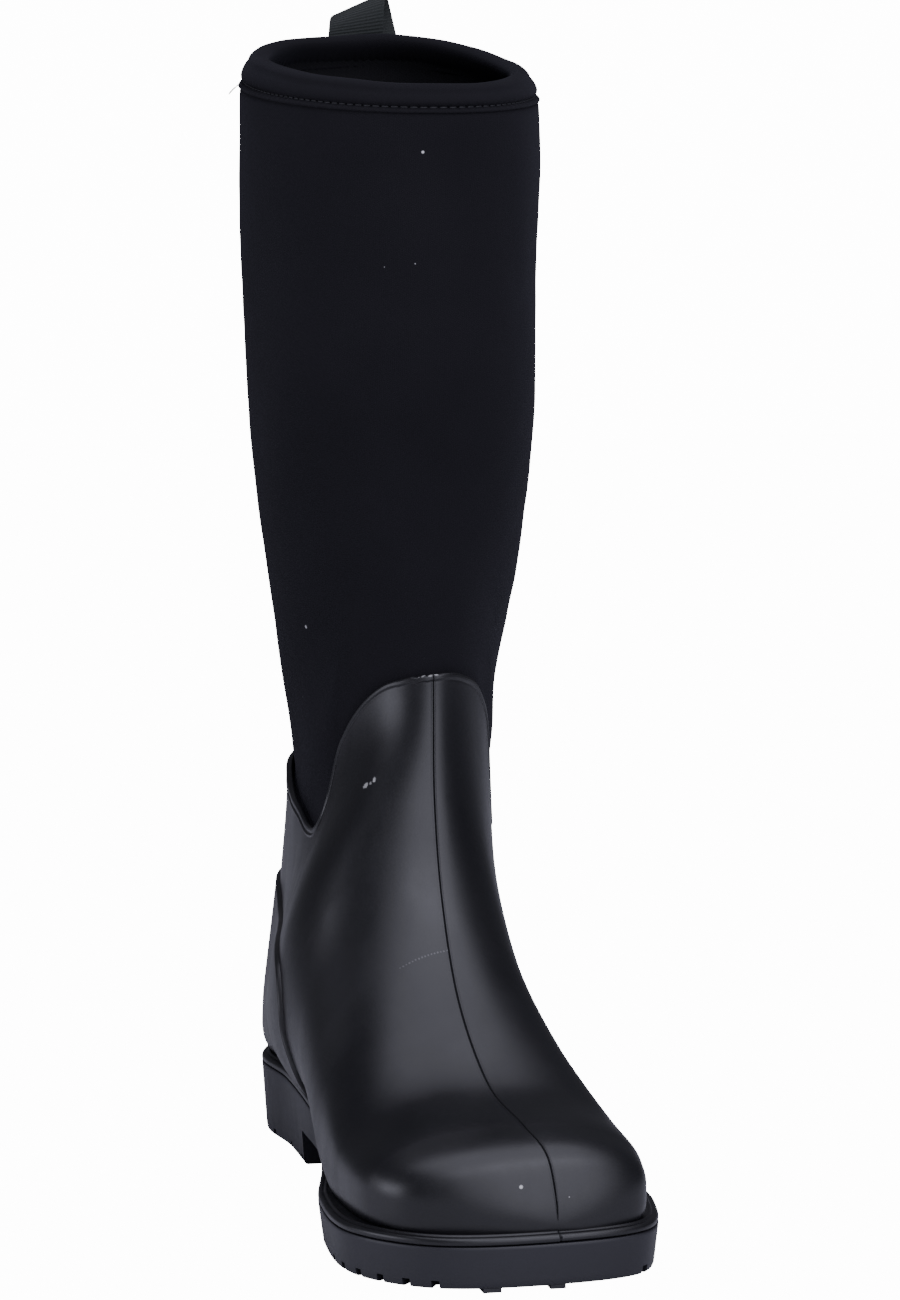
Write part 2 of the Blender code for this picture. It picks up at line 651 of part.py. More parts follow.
def build_collar(fabric, thread):
    """Binding folded over the top edge, and the line of stitching that holds it."""
    outer_leg = 0.0
    inner_leg = LINING[1] + NEOPRENE_TOP_INSET + GAP - NEOPRENE[0]
    profile = [(outer_leg, BINDING_STATION, 0), (outer_leg, 13.86, 0), (outer_leg, COLLAR, 0)]
    width = inner_leg + BINDING_THICKNESS
    for n in (1, 2, 3):
        a = math.pi * n / 4
        profile.append((width / 2 * (1 - math.cos(a)), COLLAR, COLLAR_ROLL * math.sin(a)))
    profile += [(width, COLLAR, 0), (width, 13.86, 0), (width, BINDING_STATION + 0.02, 0)]
    inner = [(inner_leg, BINDING_STATION + 0.02, 0), (inner_leg, 13.86, 0), (inner_leg, COLLAR, 0.3)]
    inner += [(width / 2, COLLAR, COLLAR_ROLL - BINDING_THICKNESS)]
    inner += [(BINDING_THICKNESS, COLLAR, 0.3), (BINDING_THICKNESS, 13.86, 0)]
    inner += [(BINDING_THICKNESS, BINDING_STATION, 0)]
    rings = []
    for inset, station, rise in profile + inner:
        plan = inset_plan(inset + collar_lean(station))
        rings.append([skin_point(plan, station, d) + (0, 0, rise) for d in COLUMNS])
    points = [p for ring in rings for p in ring]
    faces = ring_faces(len(rings), len(COLUMNS), False)
    last = (len(rings) - 1) * len(COLUMNS)
    for c in range(len(COLUMNS)):
        b = (c + 1) % len(COLUMNS)
        faces += [(last + c, last + b, b), (last + c, b, c)]
    add_object("collar_binding", points, faces, fabric)
    add_thread("collar_stitch_thread", [
        skin_point(inset_plan(collar_lean(STITCH_STATION) - 0.75), STITCH_STATION, d) for d in COLUMNS
    ], 0.35, thread)


def add_thread(name, route, radius, material):
    """A closed loop of thread, four-sided."""
    route = np.array(route)
    count = len(route)
    centre = route.mean(axis=0)
    points = []
    for k in range(4):
        a = math.pi * (0.25 + k / 2)
        for n in range(count):
            ahead = route[(n + 1) % count] - route[n - 1]
            ahead /= np.linalg.norm(ahead)
            away = route[n] - centre
            away -= ahead * away.dot(ahead)
            away /= np.linalg.norm(away)
            side = np.cross(ahead, away)
            points.append(route[n] + radius * 1.4 * (math.cos(a) * away + math.sin(a) * side))
    faces = ring_faces(4, count, False)
    last = 3 * count
    for c in range(count):
        b = (c + 1) % count
        faces += [(last + c, last + b, b), (last + c, b, c)]
    add_object(name, points, faces, material)


def build_back_tape(material):
    """Tape over the leg's closing seam, down the back from the binding to the rubber."""
    stations = (9.75, 10.2, 10.8, 11.5, 12.3, 13.0, 13.55)
    columns = (-8, -4, 0, 4, 8)
    grids = []
    for lift in (-1.0, -0.4):
        rows = []
        for s in stations:
            row = []
            for d in columns:
                here = d % 360
                flat = skin_point(inset_plan(neoprene_inset(NEOPRENE[0], s, 0) + lift), s, here)
                row.append(flat)
            rows.append(row)
        grids.append(rows)
    add_patch("back_seam_tape", *grids, material)


def loop_path(across):
    """The webbing's middle line at one point of its width, 0 at the outer edge and 1 at the inner edge."""
    height = LOOP_HEIGHTS[0] + (LOOP_HEIGHTS[1] - LOOP_HEIGHTS[0]) * across
    bulge = LOOP_BULGE[0] + (LOOP_BULGE[1] - LOOP_BULGE[0]) * across
    base_y, base_z = LOOP_BASE
    points = []
    for n in range(15):
        a = math.pi * n / 14
        round_share = (1 - math.cos(a)) / 2
        rise = math.sin(a) ** 0.75
        x = LOOP_CENTRE_X + (across - 0.5) * WEBBING[0] + LOOP_SKEW * round_share
        y = base_y + (2 * WEBBING[1] + 0.2) * round_share + 2 * bulge * math.sin(a) ** 0.6 * round_share
        points.append(np.array([x, y, base_z + height * rise]))
    return points


def build_pull_loop(webbing, thread):
    columns = [loop_path(a) for a in (0.0, 0.25, 0.5, 0.75, 1.0)]
    rows = list(zip(*columns))
    grids = [[], []]
    for r, row in enumerate(rows):
        before, after = rows[max(0, r - 1)], rows[min(len(rows) - 1, r + 1)]
        for grid, side in zip(grids, (0.5, -0.5)):
            line = []
            for c, point in enumerate(row):
                ahead = after[c] - before[c]
                across = row[min(c + 1, 4)] - row[max(c - 1, 0)]
                out = np.cross(across, ahead)
                line.append(point + out / np.linalg.norm(out) * side * WEBBING[1])
            grid.append(line)
    add_patch("pull_loop", *grids, webbing)
    build_anchor(webbing, thread)


def behind_collar(x, z, off):
    """A point at a distance behind the binding's back."""
    station = min(COLLAR, 13 + (z - 350) / 38)
    back = section_at(inset_plan(0), station)
    spread = (x - back[6]) / (back[5] if x > back[6] else back[4])
    y = back[0] - COLLAR_BACK_RADIUS * (1 - math.sqrt(1 - spread**2))
    return np.array([x, y + off - collar_lean(station), z])


def build_anchor(webbing, thread):
    """The loop's two sewn tails, lying one on the other against the outside of the binding."""
    half = WEBBING[0] / 2
    top_z = LOOP_BASE[1] - 2 * GAP
    grids = []
    for off in (ANCHOR_OFF + 2 * WEBBING[1], ANCHOR_OFF):
        rows = []
        for share in (0.0, 0.25, 0.5, 0.75, 1.0):
            z = top_z - ANCHOR_DEPTH * (1 - share)
            rows.append([behind_collar(LOOP_CENTRE_X - half + 2 * half * n / 6, z, off) for n in range(7)])
        grids.append(rows)
    add_patch("pull_loop_anchor", *grids, webbing)
    route = []
    for dx, dz in ((-7, -5), (0, -5), (7, -5), (7, 0), (7, 5), (0, 5), (-7, 5), (-7, 0)):
        off = ANCHOR_OFF + 2 * WEBBING[1] + 0.95
        route.append(behind_collar(LOOP_CENTRE_X + dx, top_z - ANCHOR_DEPTH / 2 + dz, off))
    add_thread("pull_loop_stitches", route, 0.3, thread)


def cavity_span(plan, y, z):
    """How far a layer reaches each way in x at a point of the side view, found along the fan of sections."""
    low, high = 0.0, 7.6
    for _ in range(40):
        middle = (low + high) / 2
        back_y, back_z, front_y, front_z = section_at(plan, middle)[:4]
        side = (front_y - back_y) * (z - back_z) - (front_z - back_z) * (y - back_y)
        low, high = (middle, high) if side < 0 else (low, middle)
    back_y, back_z, front_y, front_z, outer, inner, centre = section_at(plan, low)
    up = (z - back_z) / (front_z - back_z)
    edges = []
    for half, widest_at, square in ((-outer, WIDEST_AT_OUTER, SQUARE_BELOW_OUTER), (inner, WIDEST_AT, SQUARE_BELOW)):
        widest = np.interp(low, *zip(*widest_at))
        power = np.interp(low, *zip(*square))
        depth = min(1.0, max(0.0, (widest - up) / widest))
        edges.append(centre + half * (1 - depth**power) ** (1 / power))
    return edges


def floor_height(y):
    """The lowest point of the lined cavity under a point of the foot."""
    plan = inset_plan(SOCK[1])
    backs = [section_at(plan, n / 4)[:2] for n in range(2, 29)]
    return smooth_through([(b[0], b[1]) for b in backs], y)


def build_footbed(foam, fabric):
    """Loose insole: a foam bed that follows the cavity's floor, with a fabric cover on top."""
    plan = inset_plan(SOCK[1] + 1.6)
    ys = np.linspace(*FOOTBED_Y, 15)
    levels = (0.9, 2.4, FOOTBED_THICKNESS)
    bed, cover = [], []
    for n, y in enumerate(ys):
        base = float(floor_height(y)) + 1.8
        end = min(1.0, 0.55 + 0.45 * math.sin(math.pi * min(1, (n + 0.4) / 3, (14.4 - n) / 3) / 2))
        spans = [np.array(cavity_span(plan, y, base + h)) for h in levels]
        middle = spans[0].mean()
        left, right = zip(*(middle + (s - middle) * end for s in spans))
        top = base + FOOTBED_THICKNESS
        ring = [(left[0], base + levels[0]), (left[1], base + levels[1]), (left[2], top)]
        ring += [(right[2], top), (right[1], base + levels[1]), (right[0], base + levels[0])]
        ring += [(middle + 0.6 * (right[0] - middle), base), (middle + 0.6 * (left[0] - middle), base)]
        bed.append([np.array([x, y, z]) for x, z in ring])
        edge = 0.4
        low, high = top + GAP, top + GAP + COVER_THICKNESS
        ring = [(left[2] + edge, low), (left[2] + edge, high), (right[2] - edge, high), (right[2] - edge, low)]
        cover.append([np.array([x, y, z]) for x, z in ring])
    for name, rings, material in (("footbed", bed, foam), ("footbed_cover", cover, fabric)):
        count = len(rings[0])
        points = [p for ring in rings for p in ring]
        points += [np.mean(rings[0], axis=0), np.mean(rings[-1], axis=0)]
        add_object(name, points, ring_faces(len(rings), count, True), material)


def main():
    for obj in list(bpy.data.objects):
        bpy.data.objects.remove(obj)
    rubber = (0.012, 0.012, 0.014)
    build_outsole(material_for("sole_rubber", (0.016, 0.017, 0.021), 0.55))
    build_inner_sole(
        material_for("filler_foam", (0.05, 0.05, 0.05), 0.9),
        material_for("midsole_foam", (0.08, 0.08, 0.085), 0.9),
        material_for("shank_steel", (0.55, 0.55, 0.56), 0.35, 1.0),
        material_for("insole_fibreboard", (0.42, 0.33, 0.22), 0.85),
    )
    build_shell(material_for("shell_rubber", rubber, 0.42))
    build_stiffeners(
        material_for("toe_thermoplastic", (0.30, 0.30, 0.28), 0.6),
        material_for("heel_thermoplastic", (0.30, 0.30, 0.28), 0.6),
    )
    build_heel_guard(material_for("guard_rubber", (0.014, 0.014, 0.017), 0.45))
    build_bootie(
        material_for("sock_neoprene", (0.010, 0.010, 0.012), 0.9),
        material_for("leg_neoprene", (0.007, 0.007, 0.010), 0.92),
        material_for("lining_jersey", (0.010, 0.010, 0.011), 0.95),
    )
    build_collar(
        material_for("binding_jersey", (0.009, 0.009, 0.012), 0.9),
        material_for("collar_thread", (0.010, 0.010, 0.013), 0.7),
    )
    build_back_tape(material_for("seam_tape", (0.009, 0.009, 0.011), 0.85))
    build_pull_loop(
        material_for("loop_webbing", (0.012, 0.014, 0.013), 0.8),
        material_for("loop_thread", (0.010, 0.011, 0.011), 0.7),
    )
    build_footbed(
        material_for("footbed_foam", (0.06, 0.06, 0.065), 0.9),
        material_for("footbed_fabric", (0.025, 0.025, 0.028), 0.95),
    )


main()
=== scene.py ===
"""Tall neoprene and rubber stable boot, right foot, seen from the front and slightly from its outer side.

The surfaces below repeat the part's lines plan, in millimetres, at a finer pitch than the CAD solids.
The lines plan, the sole's outline, the rubber's top edge, the guard's upper row, the camera and the
places of the scratch and the specks came from scratch scripts that fitted them to the photograph or
located them on it.
They were then rounded, and some were changed.
"""

import math

import bmesh
import bpy
import numpy as np
from mathutils import Matrix, Vector


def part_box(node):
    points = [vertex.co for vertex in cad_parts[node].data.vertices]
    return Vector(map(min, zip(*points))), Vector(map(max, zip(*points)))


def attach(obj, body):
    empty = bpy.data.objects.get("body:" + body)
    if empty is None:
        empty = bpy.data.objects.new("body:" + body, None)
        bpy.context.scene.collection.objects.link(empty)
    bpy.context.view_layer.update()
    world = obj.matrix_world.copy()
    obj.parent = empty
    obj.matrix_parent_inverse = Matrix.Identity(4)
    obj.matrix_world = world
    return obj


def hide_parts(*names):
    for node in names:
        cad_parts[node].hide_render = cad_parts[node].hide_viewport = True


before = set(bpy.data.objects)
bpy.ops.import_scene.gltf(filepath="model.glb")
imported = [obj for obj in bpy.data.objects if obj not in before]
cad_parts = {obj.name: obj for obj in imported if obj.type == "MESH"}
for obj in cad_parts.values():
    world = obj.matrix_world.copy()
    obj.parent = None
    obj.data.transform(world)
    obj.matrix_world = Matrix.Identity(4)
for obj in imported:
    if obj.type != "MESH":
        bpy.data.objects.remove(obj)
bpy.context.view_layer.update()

MM = 0.001

# Lines plan, as in the part: back y, back z, front y, front z, outer half width, inner half width, centre x
LINES_PLAN = np.array([
    (-137, 21, -137, 21, 0, 0, 11),
    (-130, 15, -131, 41, 38, 29, 9.5),
    (-113, 14.5, -114, 49, 50.5, 40, 5),
    (-81, 14, -85, 56, 50.5, 45, 0.5),
    (-45, 14, -57, 78, 47, 41.5, -3),
    (-9, 16.5, -32.5, 107.5, 47, 33.5, -3),
    (45, 21.5, -17.5, 139, 49, 30.5, -2),
    (131, 25, -8, 169, 37.8, 33, 0),
    (136.5, 56, -5, 195, 35.5, 33, 1),
    (129, 106, -5, 215, 35.2, 33, 1.5),
    (122, 162, -8.5, 245, 41, 41.5, 0.5),
    (126.5, 230, -15, 280, 47, 47.5, 0),
    (132.5, 300, -18.5, 320, 49, 48.5, 0),
    (135, 350, -20, 348.5, 50.5, 49.5, 1),
    (137, 388, -23, 375.8, 52, 46.5, 3),
], float)
COLLAR = len(LINES_PLAN) - 1
WIDEST_AT = ((0, 0.5), (1, 0.46), (2, 0.43), (3, 0.385), (4, 0.35), (6, 0.37), (8, 0.45), (9, 0.5), (14, 0.5))
SQUARE_BELOW = ((0, 3.0), (1, 4.4), (2, 5.0), (4, 5.0), (6, 3.6), (8, 2.6), (10, 2.0), (14, 2.0))
WIDEST_AT_OUTER = (
    (0, 0.5), (1, 0.46), (2, 0.43), (3, 0.385), (4, 0.36), (4.5, 0.42), (5, 0.45), (5.5, 0.45),
    (6, 0.42), (6.6, 0.394), (8, 0.45), (9, 0.5), (14, 0.5),
)
SQUARE_BELOW_OUTER = (
    (0, 3.0), (1, 4.4), (2, 5.0), (3.4, 5.0), (3.8, 3.6), (4.2, 2.4), (4.6, 2.0), (5.4, 2.0), (6, 2.35),
    (6.3, 2.6), (6.5, 2.8), (6.7, 3.6), (6.9, 5.0), (7.2, 5.0), (8, 3.0), (10, 2.0), (14, 2.0),
)
SQUARE_ABOVE = ((0, 2.3), (2, 2.3), (5, 2.0), (14, 2.0))
NOSE_BACKWARDS = (1.0, 0.75, 0.3)
NOSE_IN_SECTION = (0.0, 0.7, 0.95)
SOLE_OUTLINE = (
    (-0.5, 141), (-26, 135.5), (-38.5, 113), (-36.5, 80), (-37, 44), (-38, 9), (-45, -31),
    (-53, -68), (-51, -109), (-29, -134), (8.5, -139.5), (42, -131), (52, -101), (52, -63),
    (44, -28), (33, 8), (30, 45), (35, 80), (36, 112), (24, 135),
)
TOP_EDGE = (
    (0, 9.6), (40, 9.4), (70, 8.85), (97, 7.74), (107, 7.2), (114, 7.0), (121, 7.2), (130, 7.6),
    (142, 7.68), (160, 7.54), (180, 7.41), (195, 7.46), (210, 7.58), (221, 7.6), (228, 7.55),
    (234, 7.4), (238, 7.08), (241, 6.94), (246, 6.92), (253, 7.18), (263, 7.74), (289, 8.75), (320, 9.4),
)
JOIN_BELOW_EDGE = 0.55

# Layers, outside to inside
SHELL_WALL = 2.1
SOCK = (3.7, 6.5)
NEOPRENE = (2.45, 6.75)
LINING = (7.1, 7.9)
COLLAR_LEAN = (13.72, 3.2)
STITCH_STATION = 13.8
NEOPRENE_TOP_INSET = 1.55
COLLAR_WIDTH = 5.95
COLLAR_RISE = 2.6
TOP_SQUEEZE = 2.0
FRONT_SINK = 0.9
# How far the soft collar dips or lifts round its edge, as (degrees, mm)
COLLAR_WAVE = (
    (0, 0.1), (20, 0.5), (45, -0.5), (70, -1.6), (90, -2.2), (115, -1.8), (140, -0.9), (180, 0.0), (220, 0.2),
    (250, 0.1), (275, 0.0), (300, 0.0), (335, -0.2), (350, -0.2),
)

# Sole
RIM_TOE, RIM_HEEL = 15.5, 26.5
EDGE_LIFT = 1.4
SIDE_TAPER = 1.6
TREAD_DEPTH = 4.0
NOTCH = (2.7, 8.0)
NOTCH_PITCH = 10.5
GUARD_ABOVE_RIM = 3.5
HEEL_BREAST_Y = 51.0
LUG_ROWS = tuple((y, 12.5, 4) for y in range(-118, -20, 15)) + (
    (60.0, 13.0, 3), (78.0, 13.0, 3), (95.5, 13.0, 3), (113.0, 12.0, 3), (126.0, 9.0, 1),
)
WAIST_PROFILE = ((-12, -1), (-2, 2.2), (10, 5.6), (22, 8.6), (34, 10.4), (46, 11.2))
WAIST_EDGE_PROFILE = ((1, -1), (4, 6.5), (9, 11.2), (17, 13.2), (30, 13.8))
WAIST_EDGES = ((-70.0, -27.0), (23.5, 70.0))
TOE_LUGS = ((-13.4, -7.5), (8.5, 13.5))
TOE_LUG_Y = (-136.5, -124.6)

# Footbed and pull loop
FOOTBED_THICKNESS = 5.0
COVER_THICKNESS = 1.0
FOOTBED_Y = (-108.0, 92.0)
WEBBING = (20.0, 1.3)
LOOP_CENTRE_X = 5.3
LOOP_BASE = (136.4, 384.6)
LOOP_HEIGHTS = (11.0, 19.3)
LOOP_BULGE = (8.5, 9.5)
LOOP_SKEW = 6.6
ANCHOR_DEPTH = 17.0
ANCHOR_OFF = 1.4
COLLAR_BACK_RADIUS = 78.0

# Stage and light, in metres: the flat floor's rings, and the cove that rises from it to a wall
FLOOR_RADII = (0.3, 1.2, 2.6)
PAPER_BELOW = 0.0004
BACKDROP_BELOW = 0.0006
COVE_RADIUS = 1.6
COVE_STEPS = 12
WALL_AND_CEILING = ((4.2, 3.0), (4.2, 6.0), (2.0, 7.5), (0.01, 7.6))
BACKDROP_GLOW = 14.0
LIGHT_TINT = (0.86, 0.86, 1.0)
WORLD_STRENGTH = 0.1
# Name, azimuth, elevation, distance, size and radiance of each soft lamp
LAMPS = (
    ("overhead", 15, 75, 1.5, (1.8, 1.9), 2.3),
    ("front", 14, 25, 2.3, (1.9, 3.0), 2.7),
    ("left_low", -83, 5, 1.5, (0.9, 0.65), 4.2),
)

# Camera: the point looked at and the eye's place in plan millimetres, the lens in millimetres
CAMERA_TARGET = (10.0, 11.5, 180.0)
CAMERA_AZIMUTH_DEG = -12.2253
CAMERA_DISTANCE = 1925.7
CAMERA_HEIGHT = 451.9
CAMERA_ROLL = -0.011035
LENS = 158.84
SENSOR_HEIGHT = 36.0
LENS_SHIFT_Y = 0.0131


# ---------------------------------------------------------------- surfaces

def smooth_through(knots, at, period=None):
    """Cubic through (position, value) knots, evaluated at `at`; with a period it closes on itself."""
    x = np.array([k[0] for k in knots], float)
    y = np.array([k[1] for k in knots], float)
    at = np.asarray(at, float)
    if period:
        x = np.concatenate([x[-2:] - period, x, x[:2] + period])
        y = np.concatenate([y[-2:], y, y[:2]])
        at = np.mod(at - x[2], period) + x[2]
    slope = np.gradient(y, x)
    i = np.clip(np.searchsorted(x, at, side="right") - 1, 0, len(x) - 2)
    h = x[i + 1] - x[i]
    t = np.clip((at - x[i]) / h, 0.0, 1.0)
    return (
        y[i] * (1 + 2 * t) * (1 - t) ** 2
        + h * slope[i] * t * (1 - t) ** 2
        + y[i + 1] * t * t * (3 - 2 * t)
        + h * slope[i + 1] * t * t * (t - 1)
    )


def smooth_step(t):
    t = np.clip(t, 0.0, 1.0)
    return t * t * (3 - 2 * t)


def bump(t):
    """1 at t = 0, falling smoothly to 0 at t = -1 and 1."""
    return 1 - smooth_step(np.abs(t))


def inset_plan(inset):
    plan = LINES_PLAN.copy()
    for n, row in enumerate(plan):
        across = row[2:4] - row[0:2]
        length = np.linalg.norm(across)
        share = NOSE_IN_SECTION[n] if n < len(NOSE_IN_SECTION) else 1.0
        if length > 0:
            row[0:2] += across / length * inset * share
            row[2:4] -= across / length * inset * share
            row[4:6] -= inset * share
        if n < len(NOSE_BACKWARDS):
            row[[0, 2]] += inset * NOSE_BACKWARDS[n]
    return plan


PLAN_AT_SKIN = inset_plan(0.0)
PLAN_PER_MM = inset_plan(1.0) - PLAN_AT_SKIN


def section_numbers(plan, station):
    nose = plan[1][[2, 3, 0, 1, 4, 5, 6]] * np.array([1, 1, 1, 1, -1, -1, 1])
    rows = np.vstack([nose, plan, 2 * plan[-1] - plan[-2]])
    i = np.clip(np.floor(station).astype(int), 0, COLLAR - 1)
    t = (station - i)[..., None]
    a, b, c, d = rows[i], rows[i + 1], rows[i + 2], rows[i + 3]
    return 0.5 * (2 * b + (c - a) * t + (2 * a - 5 * b + 4 * c - d) * t**2 + (3 * b - a - 3 * c + d) * t**3)


def from_table(table, station):
    return np.interp(station, *zip(*table))


def skin(station, degrees, inset=0.0):
    """Points of a layer: 0 degrees is the back or bottom, 90 the inner side, 180 the front."""
    station, degrees, inset = np.broadcast_arrays(
        np.asarray(station, float), np.asarray(degrees, float), np.asarray(inset, float)
    )
    per_mm = section_numbers(PLAN_PER_MM, station)
    section = section_numbers(PLAN_AT_SKIN, station) + inset[..., None] * per_mm
    back_y, back_z, front_y, front_z, outer, inner, centre = np.moveaxis(section, -1, 0)
    on_inner = np.mod(degrees, 360) <= 180
    widest = np.where(on_inner, from_table(WIDEST_AT, station), from_table(WIDEST_AT_OUTER, station))
    up = (1 - np.cos(np.radians(degrees))) / 2
    low = up < widest
    below = np.where(on_inner, from_table(SQUARE_BELOW, station), from_table(SQUARE_BELOW_OUTER, station))
    power = np.where(low, below, from_table(SQUARE_ABOVE, station))
    share = np.clip(np.where(low, (widest - up) / widest, (up - widest) / (1 - widest)), 0, 1)
    spread = np.maximum(0.0, 1 - share**power) ** (1 / power)
    half = np.where(on_inner, inner, -outer)
    return np.stack([
        centre + half * spread,
        back_y + up * (front_y - back_y),
        back_z + up * (front_z - back_z),
    ], -1)


def edge_station(degrees):
    return smooth_through(TOP_EDGE, degrees, 360)


def collar_lean(station):
    start, most = COLLAR_LEAN
    return most * np.clip((station - start) / (COLLAR - start), 0, 1)


def collar_wave(station, degrees):
    """Height that the soft collar gains or loses at a place round its edge."""
    return smooth_through(COLLAR_WAVE, degrees, 360) * smooth_step((np.asarray(station) - 12.9) / 1.0)


def leg_point(station, degrees, layer, thins_from=13.24):
    """A layer of the leg: it fills out above the rubber's edge and thins under the binding."""
    station, degrees = np.broadcast_arrays(np.asarray(station, float), np.asarray(degrees, float))
    risen = smooth_step((station - edge_station(degrees)) / 1.3)
    bound = smooth_step((station - thins_from) / 0.4)
    squeezed = TOP_SQUEEZE * smooth_step((station - 13.3) / 0.5)
    squeezed = squeezed * (layer - NEOPRENE[0]) / (LINING[1] - NEOPRENE[0])
    inset = layer - NEOPRENE[0] * risen + NEOPRENE_TOP_INSET * bound + collar_lean(station) - squeezed
    points = skin(station, degrees, inset)
    points[..., 2] += collar_wave(station, degrees)
    return points


def soft_noise(points, size, seed, octaves=2):
    """A smooth field from sums of sine waves in fixed random directions, about -1 to 1."""
    draw = np.random.default_rng(seed)
    total = np.zeros(points.shape[:-1])
    weight, scale = 1.0, 2 * math.pi / size
    for _ in range(octaves):
        for _ in range(6):
            direction = draw.normal(size=3)
            direction *= scale * draw.uniform(0.7, 1.3) / np.linalg.norm(direction)
            total += weight * np.sin(points @ direction + draw.uniform(0, 2 * math.pi)) / 3
        weight, scale = weight * 0.5, scale * 2.1
    return total / 1.5


def normals_of(grid, wrap=True):
    """Unit normals of a grid of points, from its rows and columns."""
    if wrap:
        across = np.roll(grid, -1, 1) - np.roll(grid, 1, 1)
    else:
        across = np.gradient(grid, axis=1)
    along = np.gradient(grid, axis=0)
    normal = np.cross(across, along)
    normal /= np.linalg.norm(normal, axis=-1)[..., None] + 1e-12
    return normal


FINE = 2880
_knots = np.array(SOLE_OUTLINE, float)
_span = np.sqrt(np.linalg.norm(np.roll(_knots, -1, 0) - _knots, axis=1))
_at = np.concatenate([[0], np.cumsum(_span)])
_fine = np.linspace(0, _at[-1], FINE, endpoint=False)
OUTLINE_CURVE = np.stack([
    smooth_through(list(zip(_at[:-1], _knots[:, k])), _fine, _at[-1]) for k in (0, 1)
], 1)
_step = np.linalg.norm(np.roll(OUTLINE_CURVE, -1, 0) - OUTLINE_CURVE, axis=1)
OUTLINE_ALONG = np.concatenate([[0], np.cumsum(_step)])
OUTLINE_LENGTH = float(OUTLINE_ALONG[-1])


def outline_at(along, inset=0.0):
    """The sole outline's points and inward normals at distances round it, drawn in by `inset`."""
    looped = np.vstack([OUTLINE_CURVE, OUTLINE_CURVE[:1]])

    def point(where):
        around = np.mod(where, OUTLINE_LENGTH)
        return np.stack([np.interp(around, OUTLINE_ALONG, looped[:, k]) for k in (0, 1)], 1)

    along = np.asarray(along, float)
    ahead = point(along + 1.0) - point(along - 1.0)
    ahead /= np.linalg.norm(ahead, axis=1)[:, None]
    inwards = np.stack([-ahead[:, 1], ahead[:, 0]], 1)
    inset = np.asarray(inset, float)
    return point(along) + inwards * (inset[..., None] if inset.ndim else inset), inwards


def rim_height(y):
    return RIM_TOE + (RIM_HEEL - RIM_TOE) * smooth_step((np.asarray(y, float) + 60) / 110)


# The plan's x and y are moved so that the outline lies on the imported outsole.
_low, _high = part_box("outsole")
_mid = (OUTLINE_CURVE.min(0) + OUTLINE_CURVE.max(0)) / 2
PLAN_CENTRE = np.array([
    _mid[0] - (_low.x + _high.x) / 2 / MM,
    _mid[1] - (_low.y + _high.y) / 2 / MM,
    0.0,
])


def to_world(points):
    return (np.asarray(points, float) - PLAN_CENTRE) * MM


# ---------------------------------------------------------------- mesh building

def finish_mesh(
    name, points, faces, material, slot, body="boot", replaces=(), uv=None, sharp=45, smooth=True,
):
    mesh = bpy.data.meshes.new(name)
    world = to_world(points)
    volume = 0.0
    by_size = {}
    for f in faces:
        by_size.setdefault(len(f), []).append(f)
    for size, group in by_size.items():
        group = np.array(group)
        for k in range(1, size - 1):
            a, b, c = world[group[:, 0]], world[group[:, k]], world[group[:, k + 1]]
            volume += np.einsum("ij,ij->i", a, np.cross(b, c)).sum()
    flip = volume < 0
    faces = [tuple(reversed(f)) if flip else tuple(f) for f in faces]
    mesh.from_pydata(world.tolist(), [], faces)
    if uv is not None:
        layer = mesh.uv_layers.new(name="surface")
        values = []
        for corner_uv in uv:
            values.extend(reversed(corner_uv) if flip else corner_uv)
        layer.data.foreach_set("uv", np.array(values, np.float32).ravel())
    mesh.materials.append(material)
    if smooth:
        mesh.shade_smooth()
        mesh.set_sharp_from_angle(angle=math.radians(sharp))
    obj = bpy.data.objects.new(name, mesh)
    bpy.context.scene.collection.objects.link(obj)
    if body:
        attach(obj, body)
    if replaces:
        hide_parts(*replaces)
    return obj


